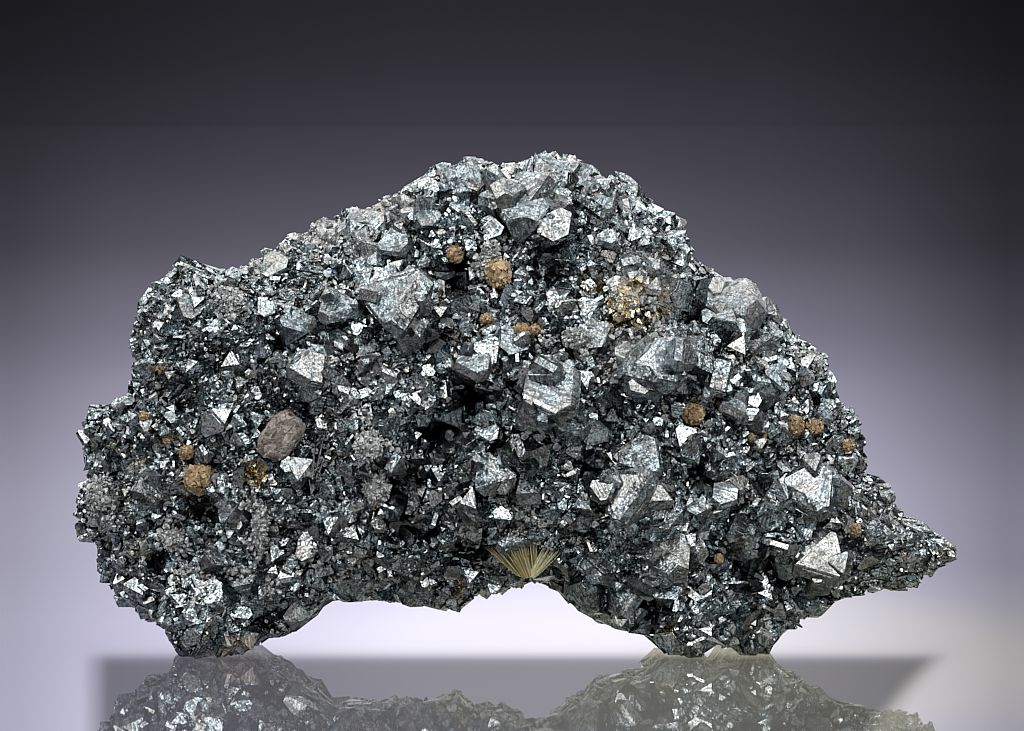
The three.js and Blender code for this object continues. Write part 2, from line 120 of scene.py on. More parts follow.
squares = reckon(tree, "ADD", reckon(tree, "POWER", across, 2.0),
                 reckon(tree, "POWER", apart.outputs["Y"], 2.0))
pool = ramp_of(tree, reckon(tree, "DIVIDE", reckon(tree, "SQRT", squares), POOL_FAR, clamp=True), POOL_STEPS)
tinted = []
for level, tint in ((reckon(tree, "MULTIPLY", sheet, fan), LILAC), (pool, POOL_TINT)):
    scaled = node_of(tree, "VectorMath", [(0, tint)], operation="SCALE")
    tree.links.new(level, scaled.inputs["Scale"])
    tinted.append(scaled.outputs[0])
both = node_of(tree, "VectorMath", operation="ADD")
for number, socket in enumerate(tinted):
    tree.links.new(socket, both.inputs[number])
tree.links.new(both.outputs[0], shader.inputs["Emission Color"])
# Painted shadow: the glow is dimmed by SHADE_DEPTH in a strip just in front of the specimen
before = ramp_of(tree, reckon(tree, "MULTIPLY", apart.outputs["Y"], -4.0),
                 [(0.0, 0.0), (0.05, 1.0), (0.6, 1.0), (1.0, 0.0)])
narrowed = reckon(tree, "MULTIPLY", reckon(tree, "MAXIMUM", reckon(tree, "SUBTRACT", sideways, 0.5), 0.0),
                  reckon(tree, "MAXIMUM", reckon(tree, "MULTIPLY", apart.outputs["Y"], -2.0), 0.0))
within = ramp_of(tree, reckon(tree, "ADD", sideways, narrowed),
                 [(0.195, 0.0), (0.212, 1.0), (0.795, 1.0), (0.812, 0.0)])
shaded = reckon(tree, "MULTIPLY", before, within)
tree.links.new(reckon(tree, "MULTIPLY_ADD", shaded, -SHADE_DEPTH, 1.0), shader.inputs["Emission Strength"])
shader.inputs["Base Color"].default_value = SHEET_BLACK
shader.inputs["Roughness"].default_value = 0.015
shader.inputs["IOR"].default_value = 1.5
corners = np.array([[-1, -1, 0], [1, -1, 0], [1, 1, 0], [-1, 1, 0]]) * TABLE_HALF
table_mesh = bpy.data.meshes.new("table")
table_mesh.from_pydata(corners.tolist(), [], [(0, 1, 2, 3)])
table = bpy.data.objects.new("table", table_mesh)
bpy.context.scene.collection.objects.link(table)
table_mesh.materials.append(table_paint)

# The room: dark at eye level, with a broad lit wall high behind the specimen that the table mirrors, a dark
# card before that wall, and even light from above and from the front.
CARD_DEPTH = 0.75
room = bpy.data.worlds.new("room")
bpy.context.scene.world = room
room.use_nodes = True
tree = room.node_tree
tree.nodes.clear()
way = node_of(tree, "SeparateXYZ")
tree.links.new(node_of(tree, "TexCoord").outputs["Generated"], way.inputs[0])
rise = ramp_of(tree, reckon(tree, "MULTIPLY", way.outputs["Z"], 5.0),
               [(0.0, 0.0222), (0.012, 0.020), (0.04, 0.0148), (0.0785, 0.0111), (0.09, 0.0115),
                (0.149, 0.045),
                (0.1745, 0.08), (0.22, 0.18), (0.2685, 0.29), (0.3115, 0.34), (0.3565, 0.44), (0.4225, 0.50)])
aside = ramp_of(tree, reckon(tree, "MULTIPLY_ADD", way.outputs["X"], 4.0, 0.5),
                [(0.0, 0.30), (0.224, 0.50), (0.353, 0.85), (0.45, 1.0), (0.56, 0.99), (0.645, 0.86),
                 (0.696, 0.66),
                 (0.741, 0.50), (0.777, 0.37), (1.0, 0.25)])
behind = ramp_of(tree, way.outputs["Y"], [(0.0, 0.0), (0.5, 0.1), (0.85, 0.8), (0.95, 1.0)])
slant = reckon(tree, "MULTIPLY", reckon(tree, "MAXIMUM", way.outputs["X"], 0.0),
               reckon(tree, "MULTIPLY_ADD", way.outputs["Z"], 16.0, -1.2))
sidelong = reckon(tree, "MULTIPLY_ADD", reckon(tree, "ADD", way.outputs["X"], slant), 4.0, 0.5)
card = reckon(tree, "MULTIPLY",
              ramp_of(tree, reckon(tree, "MULTIPLY", way.outputs["Z"], 5.0),
                      [(0.373, 0.0), (0.383, 1.0), (0.4425, 1.0), (0.47, 0.0)]),
              ramp_of(tree, sidelong, [(0.258, 0.0), (0.274, 1.0), (0.735, 1.0), (0.751, 0.0)]))
wall = reckon(tree, "MULTIPLY", reckon(tree, "MULTIPLY", rise, behind), reckon(tree, "MULTIPLY", aside, 2.0))
wall = reckon(tree, "MULTIPLY", wall, reckon(tree, "MULTIPLY_ADD", card, -CARD_DEPTH, 1.0))
ceiling = ramp_of(tree, way.outputs["Z"], [(0.0, 0.0), (0.09, 0.0), (0.3, 0.52), (0.6, 0.90), (1.0, 0.90)])
fill = ramp_of(tree, reckon(tree, "MULTIPLY", way.outputs["Y"], -1.0),
               [(0.0, 0.0), (0.15, 0.12), (0.5, 0.35), (1.0, 0.50)])
ceiling = reckon(tree, "ADD", ceiling, fill)
air = node_of(tree, "AddShader")
for number, (strength, colour) in enumerate(((wall, LILAC), (ceiling, (1.0, 1.0, 1.0)))):
    glowing = node_of(tree, "Background", [("Color", (*colour, 1.0))])
    tree.links.new(strength, glowing.inputs["Strength"])
    tree.links.new(glowing.outputs[0], air.inputs[number])
tree.links.new(air.outputs[0], node_of(tree, "OutputWorld").inputs["Surface"])

# The lamps: soft panels, the largest overhead and in front, with smaller ones at the sides and behind.
# Each is (name, place, size, watts), in millimetres, and looks at the middle of the specimen.
LAMPS = [
    ("overhead_lamp", (20, -170, 430), (1050, 720), 2.0),
    ("front_lamp", (-110, -600, 370), (800, 400), 1.05),
    ("left_lamp", (-430, -170, 365), (560, 380), 0.85),
    ("right_lamp", (450, -260, 350), (600, 380), 1.1),
    ("rear_lamp", (-60, 330, 370), (800, 260), 1.1),
]
EYE_RISE = math.radians(2.0)
EYE_MIDDLE = (-0.2, 1.64, 32.3)
FRAME_WIDTH = 115.8
LENS = 250.0
SENSOR = 36.0
CRISPNESS = 0.1
middle = Vector(EYE_MIDDLE) * MM
for name, place, size, watts in LAMPS:
    lamp = bpy.data.lights.new(name, "AREA")
    lamp.shape = "RECTANGLE"
    lamp.size, lamp.size_y = size[0] * MM, size[1] * MM
    lamp.energy = watts
    lamp.color = (1.0, 0.99, 0.97)
    held = bpy.data.objects.new(name, lamp)
    held.location = Vector(place) * MM
    held.rotation_euler = (middle - held.location).to_track_quat("-Z", "Y").to_euler()
    held.visible_camera = False
    bpy.context.scene.collection.objects.link(held)

eye = bpy.data.objects.new("eye", bpy.data.cameras.new("eye"))
eye.data.lens = LENS
eye.data.sensor_width = SENSOR
eye.data.clip_start = 0.01
back_off = Vector((0.0, -math.cos(EYE_RISE), math.sin(EYE_RISE)))
eye.location = middle + back_off * (FRAME_WIDTH * LENS / SENSOR * MM)
eye.rotation_euler = (math.pi / 2 - EYE_RISE, 0.0, 0.0)
bpy.context.scene.collection.objects.link(eye)
bpy.context.scene.camera = eye
bpy.context.scene.view_settings.view_transform = "Standard"

# The photograph is crisply sharpened, so the picture is sharpened a little too, on its display levels.
bpy.context.scene.use_nodes = True
tree = bpy.context.scene.node_tree
tree.nodes.clear()
chain = [tree.nodes.new("Compositor" + kind) for kind in ("NodeRLayers", "NodeGamma", "NodeFilter",
                                                          "NodeGamma", "NodeComposite")]
chain[1].inputs["Gamma"].default_value = 1 / 2.2
chain[2].filter_type = "SHARPEN"
chain[2].inputs["Fac"].default_value = CRISPNESS
chain[3].inputs["Gamma"].default_value = 2.2
for first, second in zip(chain, chain[1:]):
    tree.links.new(first.outputs["Image"], second.inputs["Image"])


# The ore plate: massive tennantite that all the crystals grow from, broken at the back, pitted and
# knobbed at the front. Its outline, thickness, knobs and hollows are those of the solid it stands for.
CENTRE = np.array([-2.0, 26.0])
SHIFT = np.array([0.15, 1.64, 0.0])
FRONT_DEPTH = 16.5
BACK_DEPTH = 15.5
RIM_ROUNDING = 3.2
CRUST = 0.9
TIPS_BEYOND = 0.3
RAGGED = 1.5
RAGGED_STEPS = 300
TURN_SWAY = 0.02
SWAY_WAVES = np.array([2.3, 1.1, 3.1])
OUTLINE = np.array([
    (51.4, 11.1), (48.4, 12.8), (44.4, 15.1), (43.3, 18.2), (40.3, 20.2), (39.8, 24.5), (39.2, 27.3),
    (36.6, 28.4), (36.0, 31.6), (35.3, 34.2), (31.6, 35.4), (29.7, 38.8), (26.5, 41.5), (23.0, 42.0),
    (20.4, 45.6), (18.9, 49.0), (15.2, 51.2), (12.8, 53.9), (9.0, 54.8), (3.7, 56.8), (-1.4, 55.0),
    (-5.7, 56.0), (-9.8, 54.4), (-12.4, 53.0), (-15.3, 51.8), (-18.0, 50.2), (-20.9, 49.2), (-27.2, 46.4),
    (-30.8, 43.8), (-34.0, 43.0), (-37.9, 44.3), (-40.9, 41.6), (-43.6, 38.8), (-44.1, 34.6),
    (-43.8, 30.4), (-45.4, 28.2), (-48.8, 27.4), (-50.0, 24.1), (-47.9, 20.2), (-50.8, 17.3),
    (-49.8, 13.2), (-47.8, 12.0), (-47.6, 8.2), (-46.0, 6.6), (-45.2, 5.0), (-43.1, 5.0), (-42.9, 3.4),
    (-39.5, 3.0), (-39.3, 1.6), (-37.6, 0.2), (-33.5, 0.2), (-31.1, -0.6), (-29.4, 0.2), (-28.9, 1.7),
    (-27.6, 1.1), (-25.4, 1.5), (-24.2, 3.0), (-22.1, 3.8), (-20.6, 6.4), (-19.8, 5.3), (-17.1, 5.4),
    (-11.6, 5.2), (-8.6, 4.9), (-7.0, 4.0), (-5.8, 5.0), (-4.9, 5.9), (-1.2, 5.9), (-0.2, 7.0), (1.8, 7.4),
    (4.2, 7.3), (5.4, 6.2), (6.3, 4.9), (7.8, 4.8), (8.6, 3.4), (10.4, 2.8), (12.7, 2.4), (15.0, 1.1),
    (17.0, 0.4), (19.6, -0.4), (26.8, -0.6), (29.8, 1.6), (34.2, 4.0), (40.2, 6.7), (46.6, 7.2),
    (48.0, 9.2),
])
UNDERSIDE = np.array([
    (-41.3, 3.1), (-39.7, 3.2), (-39.5, 2.1), (-38.7, 0.7), (-37.1, 0.4), (-35.8, 0.4), (-34.6, 0.9),
    (-33.8, 0.7),
    (-33.2, 0.1), (-30.3, 0.0), (-29.3, 0.1), (-29.1, 1.4), (-29.0, 2.5), (-28.3, 2.3), (-27.6, 1.7),
    (-26.1, 1.7),
    (-25.4, 2.1), (-24.4, 2.5), (-24.2, 3.5), (-23.3, 4.1), (-22.1, 4.3), (-21.9, 5.1), (-21.1, 6.3),
    (-20.4, 6.9),
    (-20.1, 6.1), (-19.3, 5.7), (-17.4, 5.7), (-15.8, 5.8), (-14.5, 5.7), (-13.7, 5.4), (-13.1, 5.7),
    (-12.0, 5.2),
    (-10.7, 4.8), (-9.8, 4.6), (-8.5, 4.9), (-7.9, 4.6), (-7.2, 4.3), (-6.6, 4.2), (-5.8, 4.9), (-5.2, 5.7),
    (-1.1, 5.8), (-0.6, 6.1), (-0.2, 6.9), (1.7, 7.2), (4.2, 7.2), (4.9, 6.8), (5.5, 6.1), (6.1, 5.2),
    (6.9, 4.8),
    (7.9, 5.0), (8.1, 4.4), (8.6, 3.5), (9.3, 3.0), (10.6, 2.9), (12.0, 2.5), (13.0, 2.3), (14.9, 2.3),
    (15.3, 1.7),
    (16.6, 0.7), (17.9, 0.2), (18.9, 0.2), (19.9, 0.4), (20.8, 0.1), (21.1, 0.3), (21.2, 2.3), (21.6, 2.3),
    (22.4, 1.8),
    (23.1, 1.1), (23.8, 0.9), (24.8, 1.1), (25.4, 0.4), (26.4, 0.0), (27.4, 0.2), (28.4, 0.4), (29.3, 1.3),
    (29.8, 2.0),
    (30.2, 2.7), (33.1, 2.7), (33.8, 3.3), (34.6, 4.0), (35.2, 4.9), (36.3, 5.7), (37.4, 6.1), (39.1, 6.2),
    (40.3, 6.4),
    (41.3, 6.9), (42.4, 6.7), (44.4, 6.8), (46.2, 6.9), (47.3, 7.4), (47.5, 9.3), (48.8, 9.7), (49.7, 10.2),
    (51.0, 10.9),
])
EYE_SLOPE = 0.035
FOOT_RISE = 0.9
KNOBS = np.array([
    (-37.0, 39.0, 6.4, 3.0), (-41.0, 33.0, 5.4, 2.4), (-31.0, 36.6, 5.2, 2.2), (-46.3, 24.2, 5.2, 3.0),
    (-46.0, 15.6, 5.6, 3.0), (-39.5, 19.8, 4.8, 2.4), (-41.5, 8.6, 5.6, 2.6), (-34.0, 6.0, 6.2, 3.4),
    (-25.4, 6.6, 4.8, 3.0), (-32.4, 27.6, 5.2, 2.4), (-23.4, 32.2, 4.6, 3.0), (-27.6, 18.6, 5.2, 2.6),
    (-20.5, 13.6, 5.6, 2.6), (-16.0, 23.4, 5.6, 3.4), (-18.6, 40.6, 5.2, 2.0), (-12.4, 39.0, 5.6, 3.2),
    (-12.6, 9.0, 5.2, 2.4), (-10.4, 28.6, 3.8, 1.8), (-6.2, 50.4, 5.8, 2.6), (2.2, 50.6, 6.6, 3.2),
    (11.2, 49.8, 5.6, 2.6), (-3.8, 33.4, 4.6, 3.0), (-3.2, 18.6, 6.2, 3.6), (5.2, 28.8, 6.4, 3.4),
    (14.8, 33.4, 6.4, 3.6), (14.6, 42.4, 5.8, 2.2), (24.4, 38.2, 5.6, 2.8), (14.4, 17.6, 6.0, 3.6),
    (2.6, 12.8, 4.8, 2.0), (16.6, 10.2, 5.4, 3.2), (22.4, 22.4, 5.4, 2.4), (26.6, 31.0, 5.6, 2.4),
    (33.0, 18.4, 5.2, 3.2), (33.0, 10.0, 5.4, 3.2), (26.6, 5.2, 5.6, 3.0), (34.0, 29.6, 4.6, 2.2),
    (37.8, 22.8, 4.2, 2.0), (42.0, 13.0, 4.2, 1.6), (19.0, 2.8, 5.0, 3.0),
])
HOLLOWS = np.array([
    (-6.6, 42.2, 3.8, 6.0), (-4.8, 29.4, 3.6, 6.0), (-8.2, 24.8, 3.8, 7.0), (-12.2, 19.6, 3.8, 6.0),
    (-12.4, 14.8, 3.6, 6.0), (-36.2, 28.4, 3.2, 3.6), (15.6, 5.2, 3.4, 5.0), (25.8, 9.6, 3.2, 5.0),
    (3.6, 43.4, 3.4, 4.6), (-4.6, 11.6, 3.2, 4.0), (20.6, 38.6, 3.0, 3.0), (-23.6, 27.2, 2.8, 3.4),
])
HOLES = np.array([
    (-34.2, 16.4, 1.7), (-40.2, 10.8, 1.7), (-9.2, 35.4, 1.7), (3.4, 24.2, 1.8), (-1.6, 24.0, 1.7),
    (29.6, 9.2, 1.8), (8.4, 21.4, 1.7), (21.0, 20.4, 1.7), (5.6, 8.8, 1.9), (-26.0, 35.2, 1.6),
])
HOLE_DEPTH = 4.0
LUMPS = [
    (-34.4, -8.6, 4.2, 5.2), (-31.4, 8.2, 4.4, 5.6), (-37.2, 1.4, 4.4, 5.0), (-28.4, -3.6, 5.2, 4.0),
    (-24.8, 3.0, 7.4, 3.6), (18.8, -8.0, 4.4, 5.2), (26.6, -5.6, 4.2, 4.8), (20.0, 7.8, 4.6, 5.6),
    (26.8, 4.0, 4.2, 5.0), (44.4, -0.6, 11.7, 3.4), (48.0, 0.4, 10.7, 2.2),
]
SUNFLOWER_TURN = 2.39996
SEED_FIELD = (50.0, 30.0)


def chance(n):
    """A repeatable number from 0 to 1 for each n: the fraction left of a large multiple of a sine."""
    wave = np.sin(np.asarray(n, float) * 12.9898 + 4.1) * 43758.5453
    return wave - np.floor(wave)


def smooth(t):
    """0 below 0, 1 above 1, and the curve 3t^2 - 2t^3 between."""
    held = np.clip(t, 0.0, 1.0)
    return held * held * (3 - 2 * held)


rim_turns = np.arctan2(OUTLINE[:, 1] - CENTRE[1], OUTLINE[:, 0] - CENTRE[0])
rim_reaches = np.hypot(OUTLINE[:, 0] - CENTRE[0], OUTLINE[:, 1] - CENTRE[1])


def reach_at(turn):
    """How far the outline is from the centre at a turn, in straight steps between its points."""
    return np.interp(turn, rim_turns[np.argsort(rim_turns)], rim_reaches[np.argsort(rim_turns)],
                     period=2 * math.pi) - CRUST


def mound_sum(mounds, x, z):
    """The sum of round mounds: height times (1 - d^2)^2, where d is the distance over the radius."""
    total = np.zeros_like(x)
    for middle_x, middle_z, radius, height in mounds:
        d = np.hypot(x - middle_x, z - middle_z) / radius
        total += height * np.where(d < 1, (1 - d * d) ** 2, 0.0)
    return total


def broken_planes(x, z, count, rise, slope, first):
    """Each place takes the tilted plane of its nearest seed, and the seeds lie in a sunflower pattern."""
    nearest = np.full(x.shape, np.inf)
    value = np.zeros_like(x)
    for n in range(count):
        reach = math.sqrt((n + 0.5) / count)
        dx = x - CENTRE[0] - SEED_FIELD[0] * reach * math.cos(n * SUNFLOWER_TURN)
        dz = z - CENTRE[1] - SEED_FIELD[1] * reach * math.sin(n * SUNFLOWER_TURN)
        d = np.hypot(dx, dz)
        seed = first + n
        tilt_x, tilt_z = chance(seed) - 0.5, chance(seed + 0.4) - 0.5
        plane = rise * (chance(seed + 0.7) - 0.5) + slope * (dx * tilt_x + dz * tilt_z)
        value = np.where(d < nearest, plane, value)
        nearest = np.minimum(nearest, d)
    return value


def depth_at(x, z, side):
    """Depth of the mass at a place in its outline: a superellipse section and relief. side is -1 in front."""
    share = np.minimum(1.0, np.hypot(x - CENTRE[0], z - CENTRE[1])
                       / reach_at(np.arctan2(z - CENTRE[1], x - CENTRE[0])))
    thickness = 1 - 0.5 * smooth((x - 16) / 34) - 0.26 * smooth((z - 30) / 27) - 0.16 * smooth((-x - 24) / 26)
    if side < 0:
        relief = mound_sum(KNOBS, x, z) - mound_sum(HOLLOWS, x, z) - 1.2
        relief = relief + broken_planes(x, z, 110, 1.6, 0.4, 3000)
        full = FRONT_DEPTH
    else:
        relief = 1.2 * np.sin(0.16 * x - 0.12 * z + 2) + broken_planes(x, z, 34, 3.4, 0.5, 4000)
        full = BACK_DEPTH
    return side * (full * thickness + relief) * np.sqrt(1 - share ** RIM_ROUNDING)


def crystal_planes(points, cell, seed):
    """Space is parted into cells round jittered seeds; each point takes the tilted plane of its nearest seed.
    Gives that plane's height, about -1 to 1, and a number from 0 to 1 that is the same all over a cell."""
    scaled = points / cell
    corner = np.floor(scaled)
    nearest = np.full(len(points), np.inf)
    height = np.zeros(len(points))
    mark = np.zeros(len(points))
    for step in itertools.product((-1, 0, 1), repeat=3):
        home = corner + step
        key = home @ np.array([127.1, 311.7, 74.7]) + seed
        jitter = np.stack([chance(key), chance(key + 0.31), chance(key + 0.62)], axis=1)
        away = scaled - home - jitter
        d = (away ** 2).sum(axis=1)
        tilt = np.stack([chance(key + 0.11), chance(key + 0.47), chance(key + 0.83)], axis=1) - 0.5
        closer = d < nearest
        height = np.where(closer, (away * tilt).sum(axis=1) * 2 + chance(key + 0.2) - 0.5, height)
        mark = np.where(closer, chance(key + 0.55), mark)
        nearest = np.minimum(nearest, d)
    return height, mark


def unit(vectors):
    """Each vector at length 1."""
    return vectors / np.maximum(np.linalg.norm(vectors, axis=-1, keepdims=True), 1e-12)


def furthest(turn):
    """How far out anything may reach at a turn: a ragged line that dips inside the outline at random."""
    dips = chance(np.arange(RAGGED_STEPS) * 1.7) ** 2
    return (reach_at(turn) + CRUST + TIPS_BEYOND
            - RAGGED * np.interp(turn, np.linspace(-math.pi, math.pi, RAGGED_STEPS), dips,
                                 period=2 * math.pi))


def held_in(points):
    """Points that stand out past the outline are drawn back towards the centre, onto the ragged line along
    it, and those that hang below the underside are raised to it, a little more the nearer the eye. Where that
    is less than the rise of a foot, they may reach down to the table."""
    across = points[:, [0, 2]] - CENTRE
    out = np.hypot(*across.T)
    sway = TURN_SWAY * np.sin(points @ SWAY_WAVES)
    limit = furthest(np.arctan2(across[:, 1], across[:, 0]) + sway)
    held = across * np.minimum(1.0, limit / np.maximum(out, 1e-9))[:, None] + CENTRE
    lowest = np.interp(held[:, 0], *UNDERSIDE.T) - EYE_SLOPE * points[:, 1]
    lowest[lowest < FOOT_RISE] = 0.0
    return np.column_stack([held[:, 0], points[:, 1], np.maximum(held[:, 1], np.maximum(lowest, 0.0))])


def mesh_piece(name, points, triangles, marks=None, finish=None, replaces=()):
    """A finished piece from corners in millimetres and triangles; marks are numbers, one for each face."""
    made = bpy.data.meshes.new(name)
    made.vertices.add(len(points))
    made.vertices.foreach_set("co", ((points + SHIFT) * MM).astype(np.float32).ravel())
    made.loops.add(3 * len(triangles))
    made.loops.foreach_set("vertex_index", triangles.astype(np.int32).ravel())
    made.polygons.add(len(triangles))
    made.polygons.foreach_set("loop_start", np.arange(0, 3 * len(triangles), 3, dtype=np.int32))
    made.polygons.foreach_set("use_smooth", np.zeros(len(triangles), bool))
    for label, values in (marks or {}).items():
        layer = made.attributes.new(label, "FLOAT", "FACE")
        layer.data.foreach_set("value", values.astype(np.float32))
    made.update(calc_edges=True)
    made.validate()
    piece = bpy.data.objects.new(name, made)
    bpy.context.scene.collection.objects.link(piece)
    made.materials.append(finish)
    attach(piece, "root")
    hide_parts(*replaces)
    return piece


def closed_grid(steps):
    """A square grid drawn onto a disc, twice: a front and a rear face that share their rim. The share is 0 in
    the middle and 1 at the rim, by the larger coordinate, and the turn runs evenly round. Gives the share,
    turn and side of each corner, -1 in front and 1 behind, and the triangles with their faces outwards."""
    line = np.linspace(-1.0, 1.0, steps + 1)
    a, b = np.meshgrid(line, line, indexing="ij")
    share = np.maximum(np.abs(a), np.abs(b))
    level = np.abs(a) >= np.abs(b)
    slant = np.where(level, b, -a) / np.where(share < 1e-9, 1.0, np.where(level, a, b)) * math.pi / 4
    turn = np.where(level, slant + math.pi * (a < 0), slant + math.pi / 2 + math.pi * (b < 0))
    rows = steps + 1
    number = np.arange(rows * rows).reshape(rows, rows)
    inner = (share < 1 - 1e-9)
    rear = number.copy()
    rear[inner] = rows * rows + np.arange(inner.sum())

    def halves(numbers):
        p, q, r, t = numbers[:-1, :-1], numbers[1:, :-1], numbers[1:, 1:], numbers[:-1, 1:]
        return np.concatenate([np.stack([p, q, r], -1).reshape(-1, 3),
                               np.stack([p, r, t], -1).reshape(-1, 3)])

    triangles = np.concatenate([halves(number), halves(rear)[:, ::-1]])
    both = [np.concatenate([values.ravel(), values[inner]]) for values in (share, turn)]
    side = np.concatenate([np.full(rows * rows, -1.0), np.full(inner.sum(), 1.0)])
    return both[0], both[1], side, triangles


def corner_normals(points, triangles):
    """The outward direction at each corner: the sum of its triangles' normals."""
    p, q, r = (points[triangles[:, n]] for n in range(3))
    across = np.cross(q - p, r - p)
    total = np.zeros_like(points)
    for n in range(3):
        for axis in range(3):
            total[:, axis] += np.bincount(triangles[:, n], across[:, axis], len(points))
    return unit(total)


# What the faces carry as colour alone: gold films, rust, olive and deep blue spots on some faces, a pale
# dust that dulls others, and painted shade that blackens the hollows. It is kept as one number of each for a
# face.
# Each spot is (x, z, half-width, half-height, share of the faces it takes, kind), and the kinds are 1 gold,
# 2 rust, 3 olive and 4 deep blue.
SPOTS = [
    (13.8, 39.9, 3.5, 2.7, 0.75, 1), (8.5, 41.6, 1.4, 1.0, 0.7, 1), (-28.6, 20.7, 1.2, 1.8, 0.75, 1),
    (-37.3, 32.0, 1.1, 0.6, 0.6, 1), (-40.2, 32.0, 0.9, 0.5, 0.6, 1), (-6.4, 7.7, 0.6, 2.2, 0.5, 1),
    (17.0, 3.2, 0.7, 0.6, 0.6, 1), (-24.9, 3.2, 0.6, 0.5, 0.6, 1), (-15.3, 17.6, 0.9, 1.0, 0.6, 1),
    (-15.8, 50.1, 1.3, 0.9, 0.7, 2), (-26.0, 45.6, 0.6, 0.5, 0.8, 2), (-22.6, 44.5, 0.6, 0.5, 0.8, 2),
    (9.0, 51.8, 0.5, 0.5, 0.8, 2), (49.2, 11.7, 1.1, 0.9, 0.6, 2), (43.9, 10.9, 0.6, 0.5, 0.9, 2),
    (-30.9, 1.1, 1.8, 1.3, 0.95, 2), (-46.2, 17.9, 1.6, 1.5, 0.5, 3), (-41.9, 12.2, 1.4, 1.2, 0.5, 3),
    (-42.4, 21.3, 1.1, 1.0, 0.5, 3), (-44.7, 23.5, 0.9, 0.8, 0.5, 3), (-15.8, 11.3, 1.0, 0.8, 0.5, 3),
    (42.6, 18.3, 1.8, 1.1, 0.65, 3), (42.0, 8.4, 6.0, 1.8, 0.25, 3), (49.0, 11.0, 1.2, 1.4, 0.4, 3),
    (43.2, 17.2, 0.5, 0.6, 0.9, 4),
    (-45.8, 10.5, 0.7, 0.5, 0.8, 4), (-20.6, 43.2, 1.0, 0.5, 0.4, 4),
]
DUSTY = [
    (-29.0, 44.6, 4.5, 2.6, 0.9), (-22.0, 47.4, 5.0, 2.4, 0.9), (-14.6, 50.4, 4.4, 2.4, 0.9),
    (24.9, 39.9, 4.6, 3.6, 0.8), (14.4, 42.6, 5.2, 4.0, 0.6), (41.0, 14.0, 9.0, 6.0, 0.18),
    (-46.4, 17.0, 2.4, 4.0, 0.4), (11.9, 33.7, 5.0, 3.6, 0.35),
]
GRIT = 0.19
CLOUD = 3.2
HOLLOW_SHADE = 0.9
HOLLOW_SHADE_DEPTH = 5.5
FLECK = 0.11
LINE_WIDTH = 0.22
WARM_CAST = (1.04, 1.0, 0.94)
COLD_CAST = (0.87, 1.0, 1.06)
hole_mounds = np.column_stack([HOLES[:, :2], HOLES[:, 2] * 1.35, np.full(len(HOLES), HOLE_DEPTH)])


def oval_sum(ovals, x, z):
    """The strongest of several soft ovals at each place: full in the middle and 0 at the edge."""
    best = np.zeros_like(x)
    for middle_x, middle_z, half_x, half_z, strength in ovals:
        d = np.hypot((x - middle_x) / half_x, (z - middle_z) / half_z)
        best = np.maximum(best, strength * smooth(1.6 * (1 - d)))
    return best


def surface_marks(points, marks, draw, low=0.0):
    """The marks of faces at these places. Dust, painted shade and stains are on the crystal side alone. low
    is how deep each face lies among its neighbours, from 0 to 1, and blackens it too as painted shade."""
    x, y, z = points.T
    crystal_side = smooth((4.0 - y) / 4.0)
    # Painted shade: faces in the hollows and holes are darkened, the deeper the darker
    hollow = mound_sum(HOLLOWS, x, z) + mound_sum(hole_mounds, x, z)
    dust = oval_sum(DUSTY, x, z) * crystal_side * draw.uniform(0.5, 1.2, len(x))
    stain = np.zeros(len(x))
    for middle_x, middle_z, half_x, half_z, part, kind in SPOTS:
        d = np.hypot((x - middle_x) / half_x, (z - middle_z) / half_z)
        stain[(draw.random(len(x)) < part * (d < 1.0)) & (y < 6.0)] = kind / 4
    return {"mark": marks, "dust": np.clip(dust, 0, 1), "stain": stain,
            "painted_shade": np.maximum(HOLLOW_SHADE * smooth(hollow / HOLLOW_SHADE_DEPTH) * crystal_side, low)}


